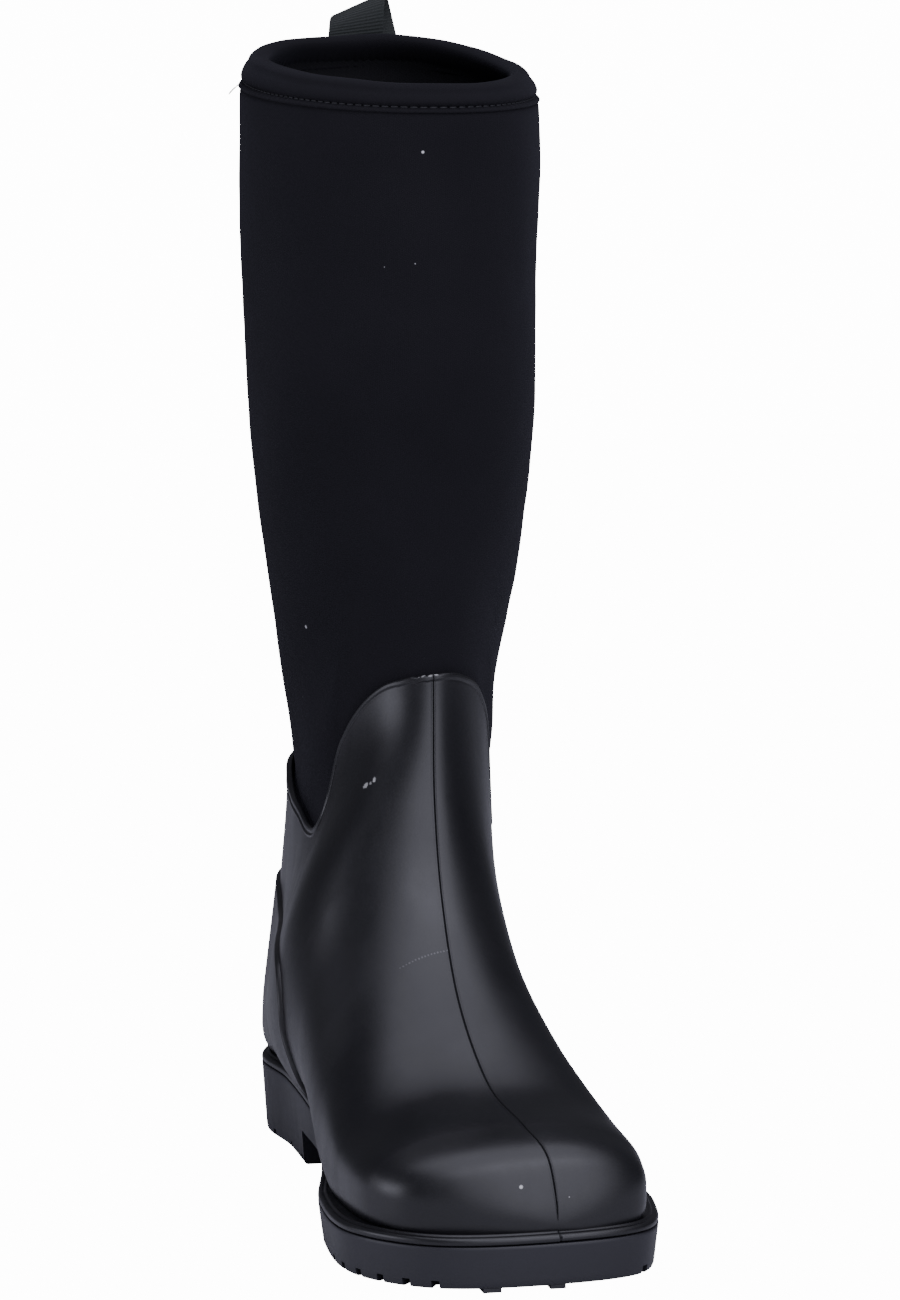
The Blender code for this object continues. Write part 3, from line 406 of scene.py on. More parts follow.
def tube(name, rings, material, slot, loop=False, folded=False, poles=(None, None), with_uv=True, **rest):
    """A closed surface over rings of equal count.

    Its ends meet if it is a loop. Otherwise each closes on a pole, in a flat fan or, if folded, in a strip.
    """
    rings = np.asarray(rings, float)
    rows, count = rings.shape[:2]
    points = rings.reshape(-1, 3)
    last_row = rows if loop else rows - 1
    r, c = np.meshgrid(np.arange(last_row), np.arange(count), indexing="ij")
    r2, c2 = (r + 1) % rows, (c + 1) % count
    quads = np.stack([r * count + c, r * count + c2, r2 * count + c2, r2 * count + c], -1).reshape(-1, 4)
    closed = np.concatenate([rings, rings[:, :1]], 1)
    u = np.concatenate([[0], np.cumsum(np.linalg.norm(np.diff(closed, axis=1), axis=-1).mean(0))])
    stacked = np.concatenate([rings, rings[:1]], 0)
    v = np.concatenate([[0], np.cumsum(np.linalg.norm(np.diff(stacked, axis=0), axis=-1).mean(1))])
    uv = np.stack([
        np.stack([u[c], v[r]], -1), np.stack([u[c + 1], v[r]], -1),
        np.stack([u[c + 1], v[r + 1]], -1), np.stack([u[c], v[r + 1]], -1),
    ], 2).reshape(-1, 4, 2)
    faces = quads.tolist()
    corner_uv = uv.tolist()
    extra = []
    if folded:
        for row, turn in ((0, 1), (rows - 1, -1)):
            for k in range(count // 2 - 1):
                corners = (k + 1, k, count - 1 - k, count - 2 - k)[::turn]
                faces.append([row * count + i for i in corners])
                corner_uv.append([[u[i], v[row]] for i in corners])
    elif not loop:
        for end, row, pole in ((0, 0, poles[0]), (1, rows - 1, poles[1])):
            centre = rings[row].mean(0) if pole is None else np.asarray(pole, float)
            index = len(points) + len(extra)
            extra.append(centre)
            for k in range(count):
                a, b = row * count + k, row * count + (k + 1) % count
                face = (index, b, a) if end == 0 else (index, a, b)
                faces.append(face)
                near, far = [u[k], v[row]], [u[k + 1], v[row]]
                pair = [far, near] if end == 0 else [near, far]
                corner_uv.append([[(u[k] + u[k + 1]) / 2, v[row]]] + pair)
    if extra:
        points = np.vstack([points, extra])
    return finish_mesh(name, points, faces, material, slot, uv=corner_uv if with_uv else None, **rest)


def slab(name, outside, inside, material, slot, **rest):
    """A closed sheet between two equal grids of points."""
    outside, inside = np.asarray(outside, float), np.asarray(inside, float)
    rings = np.concatenate([outside, inside[:, ::-1]], 1)
    return tube(name, rings, material, slot, folded=True, **rest)


def capsules(name, spans, radius, material, slot, flat=0.75, **rest):
    """Short threads between pairs of points, each bowed outwards a little, as one mesh."""
    points, faces = [], []
    sides = 8
    for start, end, out in spans:
        start, end, out = (np.asarray(v, float) for v in (start, end, out))
        ahead = end - start
        length = np.linalg.norm(ahead)
        ahead /= length
        out = out - ahead * out.dot(ahead)
        out /= np.linalg.norm(out)
        side = np.cross(ahead, out)
        first = len(points)
        rows = ((0.0, 0.25, -0.55), (0.06, 0.7, -0.2), (0.2, 1.0, 0.12), (0.5, 1.0, 0.3), (0.8, 1.0, 0.12),
                (0.94, 0.7, -0.2), (1.0, 0.25, -0.55))
        for share, size, lift in rows:
            centre = start + ahead * length * share + out * radius * lift
            for k in range(sides):
                a = 2 * math.pi * k / sides
                points.append(centre + radius * size * (math.cos(a) * side + flat * math.sin(a) * out))
        for r in range(len(rows) - 1):
            for k in range(sides):
                a, b = first + r * sides + k, first + r * sides + (k + 1) % sides
                faces.append((a, b, b + sides, a + sides))
        faces.append(tuple(first + k for k in reversed(range(sides))))
        top = first + (len(rows) - 1) * sides
        faces.append(tuple(top + k for k in range(sides)))
    return finish_mesh(name, np.array(points), faces, material, slot, **rest)


# ---------------------------------------------------------------- materials

def node(tree, kind, **values):
    made = tree.nodes.new(kind)
    for key, value in values.items():
        if key in made.inputs:
            made.inputs[key].default_value = value
        else:
            setattr(made, key, value)
    return made


class Paint:
    """A Principled material with helpers for its procedural inputs."""

    def __init__(self, name, colour, roughness, specular=0.5, sheen=0.0, sheen_roughness=0.5, metallic=0.0):
        self.material = bpy.data.materials.new(name)
        self.material.use_nodes = True
        self.tree = self.material.node_tree
        self.shader = self.tree.nodes["Principled BSDF"]
        self.shader.inputs["Base Color"].default_value = (*colour, 1.0)
        self.shader.inputs["Roughness"].default_value = roughness
        self.shader.inputs["Specular IOR Level"].default_value = specular
        self.shader.inputs["Metallic"].default_value = metallic
        self.shader.inputs["Sheen Weight"].default_value = sheen
        self.shader.inputs["Sheen Roughness"].default_value = sheen_roughness
        self.colour = None
        self.base = colour
        self.height = None
        self.place = self.new("ShaderNodeTexCoord").outputs["Object"]
        uv = self.new("ShaderNodeUVMap")
        uv.uv_map = "surface"
        self.uv = uv.outputs["UV"]

    def new(self, kind, **values):
        return node(self.tree, kind, **values)

    def link(self, output, target):
        self.tree.links.new(output, target)

    def math(self, operation, a, b=None, clamp=False):
        made = self.new("ShaderNodeMath", operation=operation, use_clamp=clamp)
        for socket, value in zip(made.inputs, (a, b)):
            if value is None:
                continue
            if isinstance(value, (int, float)):
                socket.default_value = value
            else:
                self.link(value, socket)
        return made.outputs[0]

    def noise(self, scale, detail=3.0, roughness=0.55, vector=None, stretch=None):
        made = self.new("ShaderNodeTexNoise", Scale=scale, Detail=detail, Roughness=roughness)
        source = self.place if vector is None else vector
        if stretch:
            mapping = self.new("ShaderNodeMapping")
            mapping.inputs["Scale"].default_value = stretch
            self.link(source, mapping.inputs["Vector"])
            source = mapping.outputs["Vector"]
        self.link(source, made.inputs["Vector"])
        return made.outputs["Fac"]

    def spread(self, value, low, high, to_low, to_high):
        made = self.new("ShaderNodeMapRange")
        made.clamp = True
        for socket, number in zip(list(made.inputs)[1:5], (low, high, to_low, to_high)):
            socket.default_value = number
        self.link(value, made.inputs[0])
        return made.outputs[0]

    def mix_colour(self, amount, colour):
        """Lays a colour over what is there by an amount."""
        mix = self.new("ShaderNodeMix", data_type="RGBA")
        if isinstance(amount, (int, float)):
            mix.inputs["Factor"].default_value = amount
        else:
            self.link(amount, mix.inputs["Factor"])
        sockets = [s for s in mix.inputs if s.type == "RGBA"]
        if self.colour is None:
            sockets[0].default_value = (*self.base, 1.0)
        else:
            self.link(self.colour, sockets[0])
        sockets[1].default_value = (*colour, 1.0)
        self.colour = [s for s in mix.outputs if s.type == "RGBA"][0]
        self.link(self.colour, self.shader.inputs["Base Color"])

    def rough(self, value):
        self.link(value, self.shader.inputs["Roughness"])

    def add_bump(self, height, distance, strength=1.0):
        made = self.new("ShaderNodeBump")
        made.inputs["Strength"].default_value = strength
        made.inputs["Distance"].default_value = distance
        self.link(height, made.inputs["Height"])
        if self.height is not None:
            self.link(self.height, made.inputs["Normal"])
        self.height = made.outputs["Normal"]
        self.link(self.height, self.shader.inputs["Normal"])

    def waves(self, u_per_mm, v_per_mm, phase=0.0):
        """sin of a phase that runs along the surface coordinates, in turns per millimetre."""
        split = self.new("ShaderNodeSeparateXYZ")
        self.link(self.uv, split.inputs[0])
        turn = self.math("ADD", self.math("MULTIPLY", split.outputs[0], 2 * math.pi * u_per_mm),
                         self.math("MULTIPLY", split.outputs[1], 2 * math.pi * v_per_mm))
        return self.math("SINE", self.math("ADD", turn, phase))

    def spot(self, centre, radius, amount=1.0, ragged=0.0):
        """A mask round a point of the plan: 1 inside the radius, in millimetres."""
        away = self.new("ShaderNodeVectorMath", operation="DISTANCE")
        self.link(self.place, away.inputs[0])
        away.inputs[1].default_value = tuple(to_world(centre))
        reach = away.outputs["Value"]
        if ragged:
            wobble = self.noise(900.0, 2.0)
            shift = self.math("MULTIPLY", self.math("SUBTRACT", wobble, 0.5), ragged * MM)
            reach = self.math("ADD", reach, shift)
        return self.spread(reach, radius * MM, radius * MM * 0.55, 0.0, amount)


def knit(paint, pitch, depth, painted_shade_amount=0.25):
    """Fine jersey: columns of small stitches along the surface coordinates, with painted shade darkening the colour
    where the stitches dip.
    """
    columns = paint.waves(1 / pitch, 0.0)
    rows = paint.waves(0.5 / pitch, 0.8 / pitch)
    back_rows = paint.waves(-0.5 / pitch, 0.8 / pitch)
    upright = paint.math("MULTIPLY", columns, 0.5)
    slanted = paint.math("ADD", paint.math("MULTIPLY", rows, 0.3), paint.math("MULTIPLY", back_rows, 0.3))
    height = paint.math("ADD", upright, slanted)
    paint.add_bump(height, depth * MM, 0.7)
    # Painted shade: the colour darkens where the stitch height is low
    painted_shade = paint.spread(height, -0.9, 0.9, painted_shade_amount, 0.0)
    paint.mix_colour(painted_shade, tuple(c * 0.45 for c in paint.base))


def dusting(paint, amount, colour=(0.35, 0.35, 0.36)):
    """A few pale specks of dust, each a fraction of a millimetre across."""
    cells = paint.new("ShaderNodeTexVoronoi", Scale=62.0)
    cells.feature = "F1"
    paint.link(paint.place, cells.inputs["Vector"])
    near = paint.spread(cells.outputs["Distance"], 0.0, 0.02, 1.0, 0.0)
    split = paint.new("ShaderNodeSeparateColor")
    paint.link(cells.outputs["Color"], split.inputs[0])
    chosen = paint.spread(split.outputs[0], 0.93, 0.95, 0.0, amount)
    paint.mix_colour(paint.math("MULTIPLY", near, chosen), colour)


def rubber_paint(name, colour, roughness, specks=()):
    paint = Paint(name, colour, roughness, specular=0.5)
    cloud = paint.noise(22.0, 4.0, 0.6)
    paint.mix_colour(paint.spread(cloud, 0.35, 0.7, 0.0, 0.35), tuple(c * 1.5 + 0.002 for c in colour))
    fine = paint.noise(1500.0, 2.0, 0.5)
    smear = paint.noise(35.0, 5.0, 0.65, stretch=(1.0, 1.0, 0.35))
    low = paint.spread(smear, 0.3, 0.75, roughness - 0.05, roughness + 0.09)
    paint.rough(paint.math("ADD", low, paint.math("MULTIPLY", paint.math("SUBTRACT", fine, 0.5), 0.08)))
    paint.add_bump(fine, 0.02 * MM, 0.35)
    paint.add_bump(paint.noise(180.0, 3.0, 0.5), 0.05 * MM, 0.25)
    dusting(paint, 0.5)
    for centre, radius, strength, ragged in specks:
        paint.mix_colour(paint.spot(centre, radius, strength, ragged), (0.55, 0.55, 0.54))
    return paint


SHELL_SPECKS = (
    ((-0.4, -134.7, 33.5), 0.75, 1.0, 0.2),
    ((15.0, -135.6, 29.5), 0.35, 0.5, 0.2),
    ((-28.6, -24.3, 106.3), 0.45, 0.5, 0.2),
    ((-22.8, -4.2, 143.2), 1.3, 0.55, 1.6),
    ((-20.4, -6.4, 145.4), 1.0, 0.6, 1.4),
    ((-21.2, -5.6, 144.2), 0.8, 0.35, 1.6),
    ((-33.0, -34.0, 66.0), 0.4, 0.4, 0.2),
    ((-4.6, -5.4, 180.3), 1.1, 0.85, 1.2),
    ((-3.0, -5.8, 180.3), 1.0, 0.6, 1.4),
    ((-0.6, -6.1, 180.4), 1.1, 0.5, 1.3),
    ((1.4, -6.1, 180.6), 1.0, 0.6, 1.2),
)
SCRATCH = tuple(
    (
        (-20.1 + 16.2 * t, -44.3 + 1.0 * t, 88.2 + 4.9 * t + 0.9 * math.sin(3.1 * t)),
        0.42, 0.10 + 0.16 * t * (1.6 - t), 0.5,
    )
    for t in np.linspace(0, 1, 16)
)
LEG_SPECKS = (
    ((-4.1, -20.3, 355.9), 0.6, 1.0, 0.2),
    ((-16.4, -14.2, 318.0), 0.5, 0.8, 0.2),
    ((-6.6, -17.8, 319.1), 0.4, 0.5, 0.2),
    ((-34.3, 40.0, 191.8), 0.8, 0.7, 0.5),
)


def shell_material():
    paint = rubber_paint("shell_rubber_satin", (0.0042, 0.0042, 0.0054), 0.37, SHELL_SPECKS)
    for centre, radius, strength, ragged in SCRATCH:
        paint.mix_colour(paint.spot(centre, radius, strength, ragged), (0.3, 0.3, 0.31))
    return paint.material


def cloth_paint(name, colour, pitch, depth, specks=(), sheen=0.035):
    paint = Paint(name, colour, 0.9, specular=0.08, sheen=sheen, sheen_roughness=0.5)
    paint.shader.inputs["Sheen Tint"].default_value = (0.6, 0.6, 0.75, 1.0)
    cloud = paint.noise(16.0, 4.0, 0.6)
    paint.mix_colour(paint.spread(cloud, 0.3, 0.75, 0.0, 0.5), tuple(c * 1.6 + 0.001 for c in colour))
    knit(paint, pitch, depth)
    dusting(paint, 0.35)
    for centre, radius, strength, ragged in specks:
        paint.mix_colour(paint.spot(centre, radius, strength, ragged), (0.6, 0.6, 0.6))
    return paint.material


def webbing_material(name, colour):
    paint = Paint(name, colour, 0.75, specular=0.3, sheen=0.1)
    weft = paint.waves(1 / 0.55, 0.0)
    paint.add_bump(weft, 0.06 * MM, 0.7)
    paint.add_bump(paint.noise(2500.0, 2.0), 0.04 * MM, 0.4)
    # Painted shade: the colour darkens in the low lines between the weft ribs
    paint.mix_colour(paint.spread(weft, -1.0, 1.0, 0.35, 0.0), tuple(c * 0.5 for c in colour))
    return paint.material


def plain_material(name, colour, roughness, grain=600.0, grain_depth=0.05, metallic=0.0):
    paint = Paint(name, colour, roughness, metallic=metallic)
    speckle = paint.noise(grain, 3.0)
    paint.mix_colour(paint.spread(speckle, 0.35, 0.7, 0.0, 0.4), tuple(c * 0.75 for c in colour))
    paint.add_bump(speckle, grain_depth * MM, 0.5)
    return paint.material


# ---------------------------------------------------------------- rubber shell

SEAM_DEGREES = 180.0
SEAM_OFFSETS = (-4.2, -2.6, -1.5, -0.85, -0.5, -0.3, -0.15, 0.0, 0.15, 0.3, 0.5, 0.85, 1.5, 2.6, 4.2)


def seam_columns(stations, wanted=240, clear=6.5):
    """Column angles for each row: even ones, with a close group either side of the front seam."""
    even = np.linspace(0, 360, wanted, endpoint=False)
    even = even[np.abs(even - SEAM_DEGREES) > clear]
    front = skin(stations, SEAM_DEGREES)
    beside = skin(stations, SEAM_DEGREES + 1.0)
    per_degree = np.maximum(np.linalg.norm(beside - front, axis=-1), 0.05)
    most = max(SEAM_OFFSETS)
    squeeze = np.minimum(1.0 / per_degree, (clear - 1.0) / most)
    close = SEAM_DEGREES + squeeze[:, None] * np.array(SEAM_OFFSETS)[None, :]
    before = even[even < SEAM_DEGREES][None, :].repeat(len(stations), 0)
    after = even[even > SEAM_DEGREES][None, :].repeat(len(stations), 0)
    near = np.abs(np.concatenate([
        np.full(before.shape[1], 99.0), SEAM_OFFSETS, np.full(after.shape[1], 99.0),
    ]))
    return np.concatenate([before, close, after], 1), near


def build_shell(material):
    # Rows as shares of the way from the toe's nose to the edge, then as distances in mm below the edge
    shares = np.concatenate([[0.004, 0.010, 0.018, 0.03], np.linspace(0.042, 1.0, 200)])
    edge_rows = np.array([
        5.0, 4.4, 4.0, 3.75, 3.5, 3.25, 2.9, 2.45, 2.15, 1.95, 1.75, 1.4, 0.9, 0.55, 0.3, 0.12, 0.03,
    ])
    columns, near = seam_columns(np.clip(shares * 7.41, 0.05, 7.4))
    last = columns[-1]
    edge = edge_station(last)
    slope = np.linalg.norm(skin(edge, last) - skin(edge - 0.04, last), axis=-1) / 0.04
    nick = 0.5 * bump((last - 189) / 3.0) + 0.3 * bump((last - 183.5) / 2.0)
    nick = nick + 0.16 * bump((last - 199.0) / 2.0)
    edge = edge - nick / slope
    main = (edge - 5.6 / slope)[None, :] * shares[:, None]
    near_edge = edge[None, :] - edge_rows[:, None] / slope[None, :]
    stations = np.vstack([main, near_edge])
    degrees = np.vstack([columns, np.repeat(columns[-1:], len(edge_rows), 0)])
    outer = skin(stations, degrees)
    normal = normals_of(outer)
    distance = (edge[None, :] - stations) * slope[None, :]
    lift = np.zeros(stations.shape)
    # A thin lip along the top edge, and a second bead below it behind the side dips
    lip = smooth_step((2.1 - distance) / 0.35) * (1 - smooth_step((0.55 - distance) / 0.5))
    lift += 0.32 * lip - 0.25 * smooth_step((0.35 - distance) / 0.35)
    rear = smooth_step((np.abs(last - 180) - 58) / 6)[None, :]
    lift += rear * (0.34 * bump((distance - 3.45) / 0.6) - 0.16 * bump((distance - 2.5) / 0.35))
    lift -= 0.12 * bump((distance - 2.35) / 0.3) * (1 - rear)
    # The mould's parting line: a fine groove between two low lips
    offset = np.array(near)[None, :]
    fade = smooth_step((stations - 0.06) / 0.08)
    lift += fade * (-0.34 * bump(offset / 0.3) + 0.10 * bump((offset - 0.5) / 0.4))
    lift += 0.10 * soft_noise(outer, 55.0, 3) * smooth_step(distance / 6)
    outwards = np.sign((normal * (outer - outer.mean(1, keepdims=True))).sum(-1))
    outer = outer + normal * lift[..., None] * outwards[..., None]
    # Inner wall, from the rounded edge back down to the toe
    inner_rows = np.array([0.06, 0.3, 0.8, 2.0, 4.0, 8.0])
    wall = edge[None, :] - inner_rows[:, None] / slope[None, :]
    depth = np.array([1.5, 1.9, 2.1, 2.1, 2.1, 2.1])[:, None]
    inner_edge = skin(wall, last[None, :], depth)
    back_shares = np.linspace(0.93, 0.05, 36)
    inner_main = skin(edge[None, :] * back_shares[:, None], last[None, :], SHELL_WALL)
    rings = np.concatenate([outer, inner_edge, inner_main])
    poles = (skin(0.0, 0.0), skin(0.0, 0.0, SHELL_WALL))
    return tube(
        "shell_upper", rings, material, "shell_rubber", poles=poles, replaces=["rubber_shell"], sharp=60,
    )


def build_welt(material):
    """The flange of the shell, lying on the sole: a rounded band with a thin bead against the upper."""
    count = 640
    along = np.linspace(0, OUTLINE_LENGTH, count, endpoint=False)
    front, _ = outline_at(along)
    nose = along[np.argmin(np.hypot(front[:, 0] - 11.6, front[:, 1] + 139.4))]
    close = nose + np.array([-1.2, -0.7, -0.4, -0.2, 0.0, 0.2, 0.4, 0.7, 1.2])
    along = np.sort(np.concatenate([along[np.abs(along - nose) > 1.5], close]))
    profile = (
        (9.0, 0.30), (4.0, 0.30), (0.75, 0.32), (0.32, 0.45), (0.08, 0.80), (0.0, 1.25), (0.02, 1.75), (0.18, 2.25),
        (0.52, 2.66), (0.95, 2.88), (1.4, 2.96), (1.75, 2.94), (2.0, 2.98), (2.2, 3.2), (2.45, 3.48), (2.75, 3.6),
        (3.1, 3.5), (3.5, 3.3), (5.0, 3.5), (9.0, 3.6),
    )
    seam = bump((along - nose) / 0.45)
    side = smooth_step((along - nose) / 0.6 + 0.5) * (1 - smooth_step((along - nose - 6) / 60))
    rings = []
    for inset, rise in profile:
        out = 1.0 if 0.0 <= inset < 3.3 else 0.0
        flat, _ = outline_at(along, inset + out * (0.45 * seam + 0.22 * side))
        z = rim_height(flat[:, 1]) + rise - out * 0.1 * side * (rise > 1)
        rings.append(np.column_stack([flat, z]))
    return tube("sole_welt", rings, material, "shell_rubber", loop=True, sharp=70)


def build_guard(material):
    """Raised rubber panel round the heel, its border rounded down to the shell."""
    low = (
        (-1.0, 5.38, 38), (-0.87, 5.71, 37), (-0.74, 6.0, 36), (-0.6, 6.24, 34), (-0.44, 6.47, 34),
        (-0.28, 6.71, 32), (-0.2, 6.85, 31), (-0.12, 6.99, 27), (-0.05, 7.15, 21),
    )
    high = (
        (-1.0, 5.34, 47), (-0.93, 5.31, 56), (-0.87, 5.32, 65), (-0.8, 5.4, 72), (-0.74, 5.5, 78),
        (-0.67, 5.59, 86), (-0.6, 5.8, 92), (-0.52, 6.16, 92), (-0.44, 6.7, 86), (-0.36, 7.2, 79),
        (-0.28, 7.7, 71), (-0.2, 8.2, 58), (-0.12, 8.58, 39), (-0.05, 8.81, 16),
    )
    middle = (0.0, 7.32, 0.0), (0.0, 8.85, 0.0)
    half = np.concatenate([
        np.linspace(0.006, 0.1, 26), np.linspace(0.105, 0.9, 130), np.linspace(0.904, 1.0, 40),
    ])
    shares = np.concatenate([-half[::-1], [0.0], half])
    ends = []
    for side, centre in zip((low, high), middle):
        stations = [(k[0], k[1]) for k in side] + [centre[:2]]
        angles = [(k[0], k[2]) for k in side] + [(0.0, centre[2])]
        ends.append((smooth_through(stations, -np.abs(shares)), smooth_through(angles, -np.abs(shares))))

    def place(h):
        angle = ends[0][1] + h * (ends[1][1] - ends[0][1])
        station = ends[0][0] + h * (ends[1][0] - ends[0][0])
        return station, np.where(shares >= 0, angle, np.mod(360 - angle, 360))

    # Each column starts where it meets the top of the welt
    tries = np.linspace(-0.6, 0.6, 241)[:, None]
    column = skin(*place(tries))
    over = column[..., 2] - rim_height(column[..., 1]) - GUARD_ABOVE_RIM
    first = np.argmax(over > 0, axis=0)
    start = tries[first, 0]
    heights = np.concatenate([
        np.linspace(0, 0.06, 10)[:-1], np.linspace(0.06, 0.9, 50), np.linspace(0.905, 1.0, 18),
    ])
    h = start[None, :] + (1 - start)[None, :] * heights[:, None]
    station, angle = place(h)
    base = skin(station, angle)
    # Distance in from the free border, along the front ends and the top edge
    across = np.linalg.norm(np.diff(base, axis=1), axis=-1)
    run = np.concatenate([np.zeros((len(heights), 1)), np.cumsum(across, 1)], 1)
    from_end = np.minimum(run, run[:, -1:] - run)
    up = np.linalg.norm(np.diff(base, axis=0), axis=-1)
    climb = np.concatenate([np.zeros((1, len(shares))), np.cumsum(up, 0)])
    inwards = np.minimum(np.minimum(from_end, climb[-1:] - climb), climb + 0.35)
    rounded = np.sqrt(np.clip(1 - (1 - np.clip(inwards / 1.1, 0, 1)) ** 2, 0, 1))
    outside = skin(station, angle, 0.25 - 1.75 * rounded)
    inside = skin(station, angle, 0.75)
    return slab(
        "heel_guard_panel", outside, inside, material, "guard_rubber", replaces=["heel_guard"], sharp=60,
    )


# ---------------------------------------------------------------- sole

def prism(name, rings, material=None):
    """A closed body over outline rings whose caps are zipped from side to side, heel to toe."""
    rings = [np.asarray(r, float) for r in rings]
    count = len(rings[0])
    y = rings[0][:, 1]
    heel, toe = int(np.argmax(y)), int(np.argmin(y))
    one, other, cap = heel, heel, []
    while one != toe or other != toe:
        next_one, next_other = (one + 1) % count, (other - 1) % count
        if other == toe or (one != toe and y[next_one] >= y[next_other]):
            corner, one_after, other_after = next_one, next_one, other
        else:
            corner, one_after, other_after = next_other, one, next_other
        if len({one, other, corner}) == 3:
            cap.append((one, other, corner))
        one, other = one_after, other_after
    faces = [tuple(reversed(f)) for f in cap]
    top = (len(rings) - 1) * count
    faces += [tuple(top + k for k in f) for f in cap]
    for r in range(len(rings) - 1):
        for c in range(count):
            a, b = r * count + c, r * count + (c + 1) % count
            faces.append((a, b, b + count, a + count))
    return raw_object(name, np.vstack(rings), faces, material)


def raw_object(name, points, faces, material=None):
    mesh = bpy.data.meshes.new(name)
    mesh.from_pydata(to_world(points).tolist(), [], faces)
    shape = bmesh.new()
    shape.from_mesh(mesh)
    bmesh.ops.recalc_face_normals(shape, faces=shape.faces)
    shape.to_mesh(mesh)
    shape.free()
    if material:
        mesh.materials.append(material)
    obj = bpy.data.objects.new(name, mesh)
    bpy.context.scene.collection.objects.link(obj)
    return obj


def combine(obj, tool, operation):
    """Applies a Boolean with a tool that is then removed."""
    step = obj.modifiers.new("cut", "BOOLEAN")
    step.operation = operation
    step.solver = "EXACT"
    step.object = tool
    bpy.context.view_layer.update()
    graph = bpy.context.evaluated_depsgraph_get()
    made = bpy.data.meshes.new_from_object(obj.evaluated_get(graph), depsgraph=graph)
    obj.modifiers.clear()
    old = obj.data
    obj.data = made
    bpy.data.meshes.remove(old)
    mesh = tool.data
    bpy.data.objects.remove(tool)
    bpy.data.meshes.remove(mesh)


def build_outsole(material):
    along = np.linspace(0, OUTLINE_LENGTH, 460, endpoint=False)
    rings = []
    for inset, z in (
        (SIDE_TAPER + 1.5, EDGE_LIFT), (SIDE_TAPER + 0.75, EDGE_LIFT + 0.12), (SIDE_TAPER + 0.3, EDGE_LIFT + 0.45),
        (SIDE_TAPER, EDGE_LIFT + 1.1), (SIDE_TAPER * 0.86, EDGE_LIFT + 2.6),
    ):
        flat, _ = outline_at(along, inset)
        rings.append(np.column_stack([flat, np.full(len(flat), z)]))
    for inset, drop in ((0.12, 1.2), (0.05, 0.45), (0.25, 0.12), (0.6, 0.0)):
        flat, _ = outline_at(along, inset)
        rings.append(np.column_stack([flat, rim_height(flat[:, 1]) - drop]))
    outsole = prism("tread_sole", rings, material)
    # Room for the foot
    shares = np.concatenate([[0.03], np.linspace(0.08, 0.84, 40)])
    degrees = np.linspace(0, 360, 72, endpoint=False)
    foot = skin(shares[:, None] * edge_station(degrees)[None, :], degrees[None, :], 0.6)
    count = len(degrees)
    points = np.vstack([foot.reshape(-1, 3), skin(0.0, 0.0, 0.6), foot[-1].mean(0)])
    faces = []
    for r in range(len(shares) - 1):
        for c in range(count):
            a, b = r * count + c, r * count + (c + 1) % count
            faces += [(a, b, b + count), (a, b + count, a + count)]
    tip, cap, top = len(points) - 2, len(points) - 1, (len(shares) - 1) * count
    for c in range(count):
        faces.append((tip, (c + 1) % count, c))
        faces.append((cap, top + c, top + (c + 1) % count))
    combine(outsole, raw_object("foot_space", points, faces), "DIFFERENCE")
    # Arch, recessed tread field, notches and lugs
    for name, knots, left, right in (("waist_space", WAIST_PROFILE, -70, 70),) + tuple(
        ("waist_edge", WAIST_EDGE_PROFILE, *span) for span in WAIST_EDGES
    ):
        ys = np.linspace(knots[0][0], knots[-1][0], 25)
        arch = [(y, float(smooth_through(knots, y))) for y in ys]
        arch += [(HEEL_BREAST_Y, knots[-1][1]), (HEEL_BREAST_Y, -1)]
        points = [(x, y, z) for x in (left, right) for y, z in arch]
        n = len(arch)
        faces = [(k, (k + 1) % n, (k + 1) % n + n, k + n) for k in range(n)]
        faces += [tuple(range(n)), tuple(range(n, 2 * n))]
        combine(outsole, raw_object(name, points, faces), "DIFFERENCE")
    flat, _ = outline_at(along[::2], 9.0)
    field = [np.column_stack([flat, np.full(len(flat), z)]) for z in (-1.0, TREAD_DEPTH)]
    combine(outsole, prism("tread_space", field), "DIFFERENCE")
    combine(outsole, build_notches(), "DIFFERENCE")
    combine(outsole, build_lugs(), "UNION")
    mesh = outsole.data
    mesh.shade_smooth()
    mesh.set_sharp_from_angle(angle=math.radians(38))
    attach(outsole, "boot")
    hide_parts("outsole")
    return outsole


BOX_FACES = ((0, 1, 2, 3), (4, 5, 6, 7), (0, 1, 5, 4), (1, 2, 6, 5), (2, 3, 7, 6), (3, 0, 4, 7))


def build_notches():
    width, reach = NOTCH
    count = int(OUTLINE_LENGTH / NOTCH_PITCH)
    points, faces = [], []
    for n in range(count):
        where = OUTLINE_LENGTH * (n + 0.5) / count
        (spot,), (inwards,) = outline_at([where])
        ahead = np.array([inwards[1], -inwards[0]])
        x, y = spot
        on_heel = y > HEEL_BREAST_Y
        if -14 < y < HEEL_BREAST_Y + 4 or (y < -128 and -22 < x < 36) or (on_heel and n % 2 == 1):
            continue
        first = len(points)
        for z in (-1.0, TREAD_DEPTH + 0.2):
            for side, depth in ((-1, -3.0), (1, -3.0), (1, reach + 2), (-1, reach + 2)):
                place = spot + ahead * side * width / 2 + inwards * depth
                points.append((*place, z))
        faces += [tuple(first + k for k in face) for face in BOX_FACES]
    return raw_object("notches", points, faces)


